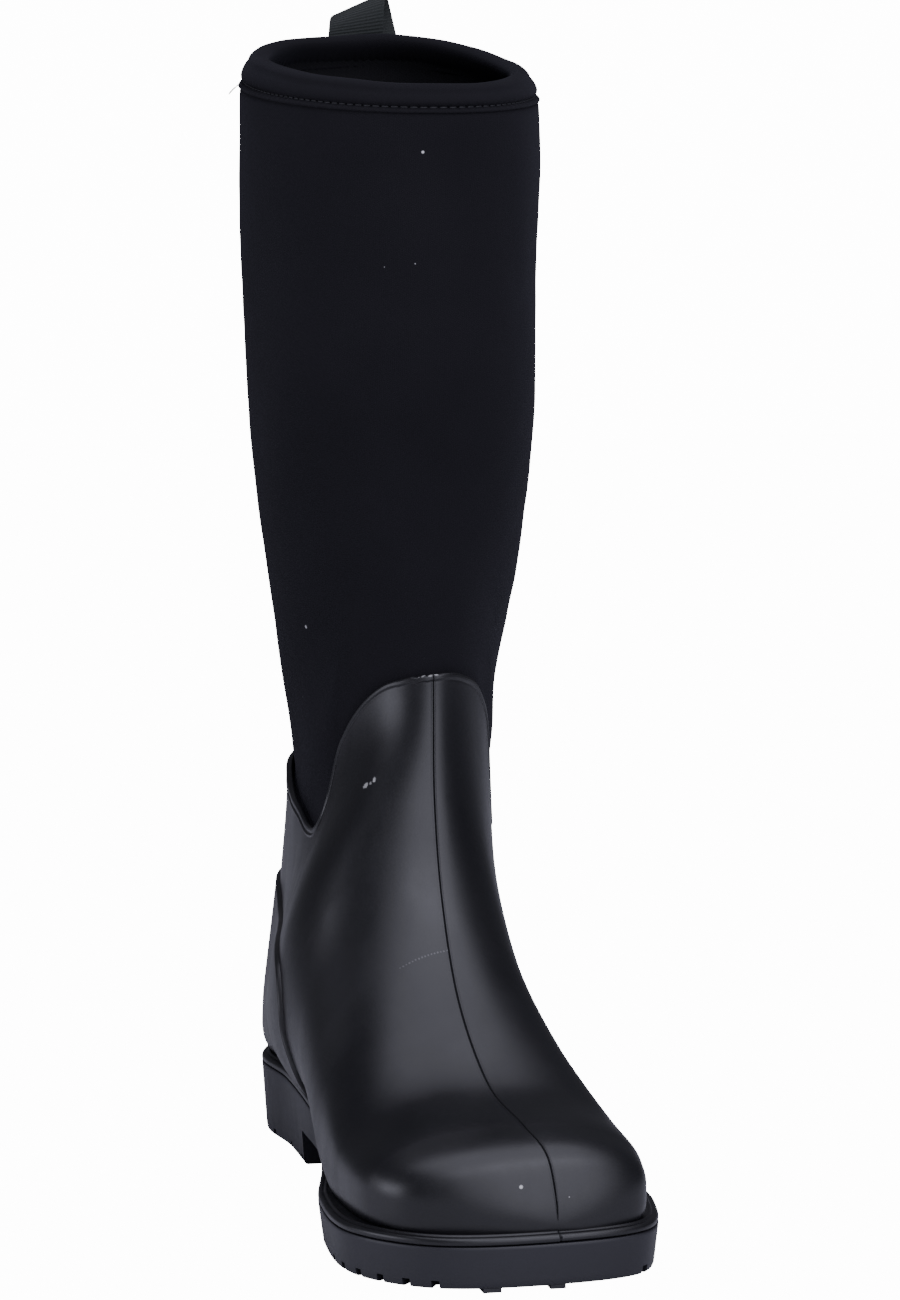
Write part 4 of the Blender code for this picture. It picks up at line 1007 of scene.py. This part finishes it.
def build_lugs():
    points, faces = [], []
    inner, _ = outline_at(np.linspace(0, OUTLINE_LENGTH, 720, endpoint=False), 8.0)
    for y, depth, blocks in LUG_ROWS:
        band = inner[np.abs(inner[:, 1] - y) < depth / 2 + 1]
        left = band[band[:, 0] < 0][:, 0].max()
        right = band[band[:, 0] > 0][:, 0].min()
        pitch = (right - left) / blocks
        for n in range(blocks):
            x0, x1 = left + n * pitch + 1.6, left + (n + 1) * pitch - 1.6
            first = len(points)
            for z, taper in ((0.0, 0.95), (0.25, 0.7), (TREAD_DEPTH + 1.0, 0.0)):
                y0, y1 = y - depth / 2 + 1.5, y + depth / 2 - 1.5
                points += [(x0 + taper, y0 + taper, z), (x1 - taper, y0 + taper, z)]
                points += [(x1 - taper, y1 - taper, z), (x0 + taper, y1 - taper, z)]
            faces += [tuple(first + k for k in f) for f in ((0, 1, 2, 3), (8, 9, 10, 11))]
            for r in (0, 4):
                faces += [tuple(first + r + k for k in f) for f in BOX_FACES[2:]]
    front, back = TOE_LUG_Y
    for left, right in TOE_LUGS:
        first = len(points)
        points += [(x, y, z) for z in (0.0, TREAD_DEPTH + 1.0) for x, y in (
            (left, front), (right, front), (right, back), (left, back),
        )]
        faces += [tuple(first + k for k in face) for face in BOX_FACES]
    return raw_object("lugs", points, faces)


# ---------------------------------------------------------------- leg, lining and sock

def build_leg(material):
    degrees = np.linspace(0, 360, 300, endpoint=False)
    edge = edge_station(degrees)
    slope = np.linalg.norm(skin(edge, degrees) - skin(edge - 0.04, degrees), axis=-1) / 0.04
    start = edge - 7.0 / slope
    shares = np.concatenate([
        np.linspace(0, 0.12, 16)[:-1], np.linspace(0.12, 0.985, 130), [0.99, 0.994, 0.997, 1.0],
    ])
    top = 13.78
    rows = start[None, :] + (top - start)[None, :] * shares[:, None]
    outer = leg_point(rows, degrees[None, :], NEOPRENE[0], thins_from=13.62)
    away = normals_of(outer)
    away *= np.sign((away * (outer - outer.mean(1, keepdims=True))).sum(-1))[..., None]
    loose = smooth_step((rows - edge[None, :] - 0.3) / 1.2) * smooth_step((13.6 - rows) / 0.6)
    swell = 0.55 * soft_noise(outer * np.array([1, 1, 0.7]), 95.0, 5) + 0.16 * soft_noise(outer, 32.0, 6)
    outer = outer + away * (loose * swell)[..., None]
    # The jersey dips where the rubber's edge grips it
    grip = bump((rows - edge[None, :]) * slope[None, :] / 7.0)
    outer = outer - away * (0.55 * grip)[..., None]
    inner_shares = np.linspace(1.0, 0.0, 30)
    inner_rows = start[None, :] + (top - start)[None, :] * inner_shares[:, None]
    inner = leg_point(inner_rows, degrees[None, :], NEOPRENE[1])
    rings = np.concatenate([outer, inner])
    return tube("leg_jersey", rings, material, "leg_neoprene", loop=True, replaces=["neoprene_leg"], sharp=70)


def build_lining(material):
    degrees = np.linspace(0, 360, 220, endpoint=False)
    edge = edge_station(degrees)
    start = edge - 0.7
    shares = np.linspace(0, 1, 90)
    rows = start[None, :] + (13.93 - start)[None, :] * shares[:, None]
    inner = leg_point(rows, degrees[None, :], LINING[1])
    inner_out = normals_of(inner)
    inner_out *= np.sign((inner_out * (inner - inner.mean(1, keepdims=True))).sum(-1))[..., None]
    inner = inner - inner_out * (0.3 + 0.35 * soft_noise(inner, 40.0, 9))[..., None]
    back = start[None, :] + (13.93 - start)[None, :] * np.linspace(1, 0, 24)[:, None]
    outer = leg_point(back, degrees[None, :], LINING[0])
    return tube("leg_lining_cloth", np.concatenate([inner, outer]), material, "lining_jersey", loop=True,
                replaces=["leg_lining"], sharp=70)


def build_sock(material):
    degrees = np.linspace(0, 360, 160, endpoint=False)
    join = edge_station(degrees) - JOIN_BELOW_EDGE
    shares = np.concatenate([[0.02], np.linspace(0.04, 1.0, 80)])
    outer = skin(shares[:, None] * join[None, :], degrees[None, :], SOCK[0])
    rim = skin(join[None, :] + 0.01, degrees[None, :], np.array([[4.2], [5.1], [6.0]]))
    inner = skin(shares[::-1][:, None] * join[None, :], degrees[None, :], SOCK[1])
    rings = np.concatenate([outer, rim, inner])
    poles = (skin(0.0, 0.0, SOCK[0]), skin(0.0, 0.0, SOCK[1]))
    return tube(
        "foot_sock_neoprene", rings, material, "sock_neoprene", poles=poles, replaces=["foot_sock"], sharp=70,
    )


# ---------------------------------------------------------------- collar

def ring_lengths(points):
    closed = np.vstack([points, points[:1]])
    return np.concatenate([[0], np.cumsum(np.linalg.norm(np.diff(closed, axis=0), axis=1))])


STITCH_PITCH = 3.3


def collar_point(degrees, inset, station, rise=0.0):
    points = skin(station, degrees, inset + collar_lean(station))
    at_front = bump((np.asarray(degrees) - 180) / 100)
    sunk = FRONT_SINK * at_front * smooth_step((np.asarray(station) - STITCH_STATION) / 0.15)
    points[..., 2] += rise + collar_wave(station, degrees) - sunk
    return points


def build_collar(material, thread):
    degrees = np.linspace(0, 360, 640, endpoint=False)
    line = collar_point(degrees, 0.0, STITCH_STATION)
    lengths = ring_lengths(line)
    stitches = int(round(lengths[-1] / STITCH_PITCH))
    phase = 2 * math.pi * stitches * lengths[:-1] / lengths[-1]
    pucker = np.cos(phase)
    uneven = 0.7 + 0.3 * np.sin(phase / 7.3 + 1.0)
    # (inset, station, rise, share of the pucker)
    profile = [
        (2.2, 13.7365, 0, 0.0), (1.2, 13.7345, 0, 0.0), (0.35, 13.7335, 0, 0.05), (-0.25, 13.735, 0, 0.1),
        (-0.6, 13.742, 0, 0.15), (-0.72, 13.752, 0, 0.25), (-0.62, 13.765, 0, 0.45), (-0.3, 13.778, 0, 0.8),
        (0.25, 13.788, 0, 1.2), (0.72, 13.796, 0, 1.5), (0.8, 13.801, 0, 1.5), (0.45, 13.808, 0, 1.3),
        (-0.1, 13.818, 0, 0.9), (-0.62, 13.833, 0, 0.5), (-1.05, 13.855, 0, 0.25), (-1.32, 13.88, 0, 0.1),
        (-1.38, 13.91, 0, 0.0), (-1.25, 13.94, 0, 0.0), (-0.95, 13.97, 0, 0.0), (-0.5, 13.995, 0, 0.0),
    ]
    outer_edge, inner_edge = -0.35, COLLAR_WIDTH + 0.9
    width = inner_edge - outer_edge
    for n in range(1, 14):
        a = math.pi * n / 14
        profile.append((
            outer_edge + width / 2 * (1 - math.cos(a)), COLLAR, COLLAR_RISE * math.sin(a) ** 0.9, 0.0,
        ))
    profile += [
        (inner_edge + 0.1, 13.985, 0, 0.0), (inner_edge + 0.05, 13.95, 0, 0.0), (inner_edge - 0.25, 13.91, 0, 0.1),
        (inner_edge - 0.7, 13.87, 0, 0.3), (inner_edge - 1.3, 13.835, 0, 0.8), (inner_edge - 1.75, 13.812, 0, 1.3),
        (inner_edge - 1.9, 13.8, 0, 1.4), (inner_edge - 1.65, 13.788, 0, 1.0), (inner_edge - 1.45, 13.77, 0, 0.5),
        (inner_edge - 1.5, 13.752, 0, 0.2), (inner_edge - 1.9, 13.742, 0, 0.0), (inner_edge - 2.6, 13.7405, 0, 0.0),
        (3.6, 13.75, 0, 0.0), (3.0, 13.77, 0, 0.0),
    ]
    rings = []
    for inset, station, rise, share in profile:
        middle = COLLAR_WIDTH / 2
        side = 1.0 if inset < middle else -1.0
        puff = 0.22 * share * pucker * uneven * side
        ring = collar_point(degrees, inset + puff, station, rise)
        rings.append(ring)
    rings = np.array(rings)
    sway = soft_noise(rings, 42.0, 12)
    lean = 0.28 * np.array([1.0 if 13.8 < p[1] else 0.25 for p in profile])[:, None]
    rings[..., 2] += 0.5 * sway * lean * 2
    centre = rings.mean((0, 1))
    radial = rings - centre
    radial[..., 2] = 0
    radial /= np.linalg.norm(radial, axis=-1)[..., None]
    rings += radial * (sway * lean)[..., None]
    collar = tube(
        "collar_roll", rings, material, "binding_jersey", loop=True, replaces=["collar_binding"], sharp=80,
    )
    spans = []
    for k in range(stitches):
        ends = []
        for share in (0.12, 0.88):
            at = np.interp((k + share) / stitches * lengths[-1], lengths, np.append(degrees, 360.0))
            ends.append(np.atleast_1d(at)[0])
        a, b = (collar_point(np.array([d]), 0.42, STITCH_STATION)[0] for d in ends)
        middle = (a + b) / 2
        out = middle - line.mean(0)
        out[2] = 0
        spans.append((a, b, out))
    # The loose end of the thread, on the outer side
    tail = collar_point(
        np.array([277.0, 279.0, 281.5]), np.array([-0.9, -2.2, -4.2]), np.array([13.8, 13.79, 13.75]),
    )
    tail[:, 2] += np.array([0.0, -0.8, -2.6])
    spans += [(tail[0], tail[1], (0, 0, 1)), (tail[1], tail[2], (0, 0, 1))]
    return collar, capsules(
        "collar_stitches", spans, 0.3, thread, "collar_thread", replaces=["collar_stitch_thread"],
    )


# ---------------------------------------------------------------- back tape and pull loop

def build_tape(material, thread):
    stations = np.linspace(9.55, 13.72, 150)
    degrees = np.linspace(-8, 8, 15)
    s, d = np.meshgrid(stations, degrees, indexing="ij")
    around = np.mod(d, 360)
    lay = leg_point(s, around, NEOPRENE[0], thins_from=13.62)
    out = np.zeros_like(lay)
    out[..., 1] = 1.0
    out[..., 0] = (lay[..., 0] - 1.0) / 60.0
    out /= np.linalg.norm(out, axis=-1)[..., None]
    edge = smooth_step((8.0 - np.abs(d)) / 1.2)
    ridge = 0.12 * np.cos(s * 120.0)
    outside = lay + out * (0.15 + 0.75 * edge + ridge * edge)[..., None]
    inside = lay - out * 0.5
    tape = slab("seam_tape", outside, inside, material, "seam_tape", replaces=["back_seam_tape"], sharp=60)
    spans = []
    for side in (-6.2, 6.2):
        where = np.arange(9.7, 13.66, 0.055)
        for a, b in zip(where[:-1], where[1:]):
            stations = np.array([a + 0.006, b - 0.006])
            ends = leg_point(stations, np.full(2, side % 360), NEOPRENE[0], thins_from=13.62)
            ends[:, 1] += 0.92
            spans.append((ends[0], ends[1], (0, 1, 0)))
    capsules("tape_stitches", spans, 0.24, thread, "collar_thread")
    return tape


def loop_path(across, count=15):
    height = LOOP_HEIGHTS[0] + (LOOP_HEIGHTS[1] - LOOP_HEIGHTS[0]) * across
    bulge = LOOP_BULGE[0] + (LOOP_BULGE[1] - LOOP_BULGE[0]) * across
    base_y, base_z = LOOP_BASE
    a = np.linspace(0, math.pi, count)
    share = (1 - np.cos(a)) / 2
    sine = np.clip(np.sin(a), 0, 1)
    x = LOOP_CENTRE_X + (across - 0.5) * WEBBING[0] + LOOP_SKEW * share
    y = base_y + (2 * WEBBING[1] + 0.2) * share + 2 * bulge * sine**0.6 * share
    return np.stack([x, y, base_z + height * sine**0.75], 1)


RIB_PITCH = 1.25


def build_loop(material):
    across = np.linspace(0, 1, 41)
    coarse = [loop_path(a, 181) for a in across]
    rows = []
    for path in coarse:
        run = np.concatenate([[0], np.cumsum(np.linalg.norm(np.diff(path, axis=0), axis=1))])
        even = np.linspace(0, run[-1], 330)
        rows.append(np.stack([np.interp(even, run, path[:, k]) for k in range(3)], 1))
    grid = np.array(rows).transpose(1, 0, 2)
    out = normals_of(grid, wrap=False)
    upright = grid - grid.mean((0, 1))
    if (out * upright).sum() < 0:
        out = -out
    run = np.linspace(0, 1, len(grid))[:, None] * 52.0
    ribs = 0.11 * np.cos(2 * math.pi * run / RIB_PITCH)
    selvedge = smooth_step(np.minimum(across, 1 - across) / 0.03)[None, :]
    thick = WEBBING[1] / 2 * (0.55 + 0.45 * selvedge)
    outside = grid + out * (thick + ribs * selvedge)[..., None]
    inside = grid - out * (thick + ribs * selvedge)[..., None]
    return slab(
        "loop_webbing", outside, inside, material, "loop_webbing",
        body="loop", replaces=["pull_loop"], sharp=50,
    )


def behind_collar(x, z, off):
    station = np.minimum(COLLAR, 13 + (z - 350) / 38)
    back = section_numbers(PLAN_AT_SKIN, station)
    spread = (x - back[..., 6]) / np.where(x > back[..., 6], back[..., 5], back[..., 4])
    y = back[..., 0] - COLLAR_BACK_RADIUS * (1 - np.sqrt(1 - spread**2))
    return np.stack([x, y + off - collar_lean(station), z], -1)


def build_anchor(material, thread):
    half = WEBBING[0] / 2
    top_z = LOOP_BASE[1] - 0.25
    xs = LOOP_CENTRE_X + half * np.linspace(-1, 1, 41)
    zs = np.linspace(top_z - ANCHOR_DEPTH, top_z, 120)
    z, x = np.meshgrid(zs, xs, indexing="ij")
    ribs = 0.11 * np.cos(2 * math.pi * (z - top_z) / RIB_PITCH)
    border = smooth_step(np.minimum(half - np.abs(x - LOOP_CENTRE_X), 0.6) / 0.6)
    # The stitching pulls the tails in along its box
    box_line = np.minimum(np.abs(np.abs(x - LOOP_CENTRE_X) - 7), 9) / 1.2
    pulled = 0.25 * bump(box_line) * (np.abs(z - top_z + ANCHOR_DEPTH / 2) < 6)
    outside = behind_collar(x, z, ANCHOR_OFF + 2 * WEBBING[1] - 0.3 + 0.3 * border + ribs * border - pulled)
    inside = behind_collar(x, z, np.full(x.shape, ANCHOR_OFF - 1.3))
    slab("loop_tails", outside, inside, material, "loop_webbing", replaces=["pull_loop_anchor"], sharp=50)
    off = ANCHOR_OFF + 2 * WEBBING[1] + 0.1
    mid_z = top_z - ANCHOR_DEPTH / 2
    corners = [(-7, -5.5), (7, -5.5), (7, 5.5), (-7, 5.5), (-7, -5.5), (7, 5.5), None, (-7, 5.5), (7, -5.5)]
    spans = []
    for start, end in zip(corners[:-1], corners[1:]):
        if start is None or end is None:
            continue
        start, end = np.array(start, float), np.array(end, float)
        pieces = int(np.linalg.norm(end - start) / 2.3)
        for k in range(pieces):
            pair = []
            for share in ((k + 0.1) / pieces, (k + 0.9) / pieces):
                dx, dz = start + (end - start) * share
                pair.append(behind_collar(np.array(LOOP_CENTRE_X + dx), np.array(mid_z + dz), np.array(off)))
            spans.append((pair[0], pair[1], (0, 1, 0)))
    return capsules("loop_stitches", spans, 0.26, thread, "loop_thread", replaces=["pull_loop_stitches"])


# ---------------------------------------------------------------- footbed

def cavity_span(inset, y, z):
    low, high = 0.0, 7.6
    for _ in range(40):
        middle = (low + high) / 2
        at = np.array(middle)
        row = section_numbers(PLAN_AT_SKIN, at) + inset * section_numbers(PLAN_PER_MM, at)
        side = (row[2] - row[0]) * (z - row[1]) - (row[3] - row[1]) * (y - row[0])
        low, high = (middle, high) if side < 0 else (low, middle)
    at = np.array(low)
    row = section_numbers(PLAN_AT_SKIN, at) + inset * section_numbers(PLAN_PER_MM, at)
    up = (z - row[1]) / (row[3] - row[1])
    spreads = []
    for widths, powers in ((WIDEST_AT_OUTER, SQUARE_BELOW_OUTER), (WIDEST_AT, SQUARE_BELOW)):
        widest = np.interp(low, *zip(*widths))
        power = np.interp(low, *zip(*powers))
        depth = min(1.0, max(0.0, (widest - up) / widest))
        spreads.append((1 - depth**power) ** (1 / power))
    return row[6] - row[4] * spreads[0], row[6] + row[5] * spreads[1]


def build_footbed(foam, cloth):
    inset = SOCK[1] + 1.6
    stations = np.arange(2, 29) / 4
    floor = section_numbers(PLAN_AT_SKIN, stations) + SOCK[1] * section_numbers(PLAN_PER_MM, stations)
    knots = [(row[0], row[1]) for row in floor]
    ys = np.linspace(*FOOTBED_Y, 61)
    levels = (0.9, 2.4, FOOTBED_THICKNESS)
    bed, cover = [], []
    for n, y in enumerate(ys):
        place = n / 4
        base = float(smooth_through(knots, y)) + 1.8
        end = min(1.0, 0.55 + 0.45 * math.sin(math.pi * min(1, (place + 0.1) / 3, (15.1 - place) / 3) / 2))
        spans = [np.array(cavity_span(inset, y, base + h)) for h in levels]
        middle = spans[0].mean()
        (l0, r0), (l1, r1), (l2, r2) = (middle + (s - middle) * end for s in spans)
        top = base + FOOTBED_THICKNESS
        ring = [
            (middle + 0.6 * (l0 - middle), base), (l0, base + 0.9), (l1, base + 2.4), (l2, top - 0.5),
            (l2 + 0.5, top), (r2 - 0.5, top), (r2, top - 0.5), (r1, base + 2.4), (r0, base + 0.9),
            (middle + 0.6 * (r0 - middle), base),
        ]
        bed.append([(x, y, z) for x, z in ring])
        low = top + 0.1
        left, right = l2 + 0.4, r2 - 0.4
        xs = np.linspace(left, right, 25)
        border = np.minimum(xs - left, right - xs)
        crown = low + COVER_THICKNESS * (0.55 + 0.45 * smooth_step(border / 2.5))
        crown = crown + 0.25 * smooth_step((3.2 - border) / 2)
        ring = [(x, y, z) for x, z in zip(xs, crown)] + [(x, y, low) for x in xs[::-1]]
        cover.append(ring)
    one = tube("footbed_foam", bed, foam, "footbed_foam", body="insole", replaces=["footbed"], sharp=60)
    two = tube(
        "footbed_top", cover, cloth, "footbed_fabric", body="insole", replaces=["footbed_cover"], sharp=60,
    )
    return one, two


# ---------------------------------------------------------------- stage, lights and camera

def build_bowl(name, material, profile):
    """A round floor: rings of (radius, height) in metres about the object's place."""
    count = 96
    angles = np.linspace(0, 2 * math.pi, count, endpoint=False)
    points = [(0.0, 0.0, profile[0][1])]
    for radius, height in profile:
        points += [(radius * math.cos(a), radius * math.sin(a), height) for a in angles]
    faces = [(0, 1 + k, 1 + (k + 1) % count) for k in range(count)]
    for ring in range(len(profile) - 1):
        first, second = 1 + ring * count, 1 + (ring + 1) * count
        for k in range(count):
            after = (k + 1) % count
            faces.append((first + k, second + k, second + after, first + after))
    mesh = bpy.data.meshes.new(name)
    mesh.from_pydata(points, [], faces)
    mesh.shade_smooth()
    mesh.materials.append(material)
    obj = bpy.data.objects.new(name, mesh)
    bpy.context.scene.collection.objects.link(obj)
    return obj


def build_stage():
    """A white backdrop, curved up all round, and under the boot the paper that returns the light.

    The camera sees only the backdrop, which lights nothing, and not the paper, so no shadow shows.
    """
    profile = [(r, -BACKDROP_BELOW) for r in FLOOR_RADII]
    for n in range(1, COVE_STEPS + 1):
        a = math.pi / 2 * n / COVE_STEPS
        profile.append((FLOOR_RADII[-1] + COVE_RADIUS * math.sin(a), COVE_RADIUS * (1 - math.cos(a))))
    profile += WALL_AND_CEILING
    white = Paint("backdrop_white", (0.9, 0.9, 0.9), 1.0, specular=0.0)
    white.shader.inputs["Emission Color"].default_value = (1.0, 1.0, 1.0, 1.0)
    white.shader.inputs["Emission Strength"].default_value = BACKDROP_GLOW
    backdrop = build_bowl("backdrop", white.material, profile)
    for ray in ("diffuse", "glossy", "transmission", "volume_scatter", "shadow"):
        setattr(backdrop, "visible_" + ray, False)
    paper = Paint("floor_paper", (0.66, 0.66, 0.69), 0.8, specular=0.2)
    paper.mix_colour(paper.spread(paper.noise(2.0), 0.3, 0.7, 0.0, 0.15), (0.63, 0.63, 0.66))
    floor = build_bowl("floor", paper.material, [(r, -PAPER_BELOW) for r in FLOOR_RADII])
    floor.visible_camera = False


def add_lamp(name, azimuth, elevation, distance, size, radiance, aim=(0.0, 0.0, 0.18)):
    """A soft lamp seen from the boot in a direction (0 is in front of the toe, 90 the inner side)."""
    a, e = math.radians(azimuth), math.radians(elevation)
    ray = Vector((math.sin(a) * math.cos(e), -math.cos(a) * math.cos(e), math.sin(e)))
    lamp = bpy.data.lights.new(name, "AREA")
    lamp.shape = "RECTANGLE"
    lamp.size, lamp.size_y = size
    lamp.energy = radiance * math.pi * size[0] * size[1]
    lamp.color = LIGHT_TINT
    obj = bpy.data.objects.new(name, lamp)
    bpy.context.scene.collection.objects.link(obj)
    obj.location = Vector(aim) + distance * ray
    obj.rotation_euler = (Vector(aim) - obj.location).to_track_quat("-Z", "Y").to_euler()
    obj.visible_camera = False


def build_lights():
    world = bpy.data.worlds.new("studio")
    bpy.context.scene.world = world
    world.use_nodes = True
    background = world.node_tree.nodes["Background"]
    background.inputs["Color"].default_value = (*LIGHT_TINT, 1.0)
    background.inputs["Strength"].default_value = WORLD_STRENGTH
    for lamp in LAMPS:
        add_lamp(*lamp)


def build_camera():
    """The photograph's viewpoint."""
    azimuth = math.radians(CAMERA_AZIMUTH_DEG)
    spot = np.array([
        CAMERA_TARGET[0] + math.sin(azimuth) * CAMERA_DISTANCE,
        CAMERA_TARGET[1] - math.cos(azimuth) * CAMERA_DISTANCE,
        CAMERA_HEIGHT,
    ])
    data = bpy.data.cameras.new("camera")
    camera = bpy.data.objects.new("camera", data)
    bpy.context.scene.collection.objects.link(camera)
    bpy.context.scene.camera = camera
    data.sensor_fit = "VERTICAL"
    data.sensor_height = SENSOR_HEIGHT
    data.lens = LENS
    data.shift_y = LENS_SHIFT_Y
    data.clip_start = 0.05
    data.clip_end = 50.0
    eye, look = Vector(to_world(spot)), Vector(to_world(CAMERA_TARGET))
    facing = (look - eye).to_track_quat("-Z", "Y").to_matrix().to_4x4()
    camera.matrix_world = Matrix.Translation(eye) @ facing @ Matrix.Rotation(CAMERA_ROLL, 4, "Z")


def main():
    build_camera()
    build_stage()
    build_lights()
    shell = shell_material()
    thread = plain_material("collar_thread_twist", (0.012, 0.012, 0.016), 0.6, 2500.0)
    webbing = webbing_material("loop_webbing_ribbed", (0.010, 0.013, 0.012))
    loop_thread = plain_material("loop_thread_twist", (0.012, 0.013, 0.013), 0.6, 2500.0)
    build_shell(shell)
    build_welt(shell)
    build_guard(rubber_paint("guard_rubber_satin", (0.0075, 0.0075, 0.0085), 0.42).material)
    build_outsole(rubber_paint("sole_rubber_matt", (0.0100, 0.0100, 0.0140), 0.5).material)
    build_leg(cloth_paint("leg_jersey_black", (0.0086, 0.0082, 0.0102), 0.62, 0.05, LEG_SPECKS))
    build_lining(cloth_paint("lining_jersey_black", (0.008, 0.008, 0.009), 0.8, 0.07))
    build_sock(cloth_paint("sock_jersey_black", (0.009, 0.009, 0.010), 0.8, 0.06))
    build_collar(cloth_paint("binding_jersey_black", (0.0076, 0.0073, 0.0090), 0.6, 0.05), thread)
    build_tape(webbing_material("seam_tape_woven", (0.008, 0.008, 0.010)), thread)
    build_loop(webbing)
    build_anchor(webbing, loop_thread)
    build_footbed(
        plain_material("footbed_foam_grey", (0.06, 0.06, 0.065), 0.85, 900.0, 0.1),
        cloth_paint("footbed_cover_knit", (0.022, 0.022, 0.026), 1.1, 0.12),
    )
    hidden = {
        "insole_board": plain_material("fibreboard_pressed", (0.42, 0.33, 0.22), 0.85, 400.0, 0.12),
        "midsole": plain_material("midsole_foam_cells", (0.08, 0.08, 0.085), 0.9, 1200.0, 0.1),
        "heel_filler": plain_material("filler_foam_cells", (0.05, 0.05, 0.05), 0.9, 1200.0, 0.1),
        "shank": plain_material("shank_steel_rolled", (0.55, 0.55, 0.56), 0.35, 300.0, 0.02, metallic=1.0),
        "toe_stiffener": plain_material("toe_sheet_formed", (0.30, 0.30, 0.28), 0.6, 500.0, 0.06),
        "heel_stiffener": plain_material("heel_sheet_formed", (0.30, 0.30, 0.28), 0.6, 500.0, 0.06),
    }
    for name, material in hidden.items():
        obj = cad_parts[name]
        obj.data.materials.clear()
        obj.data.materials.append(material)


main()
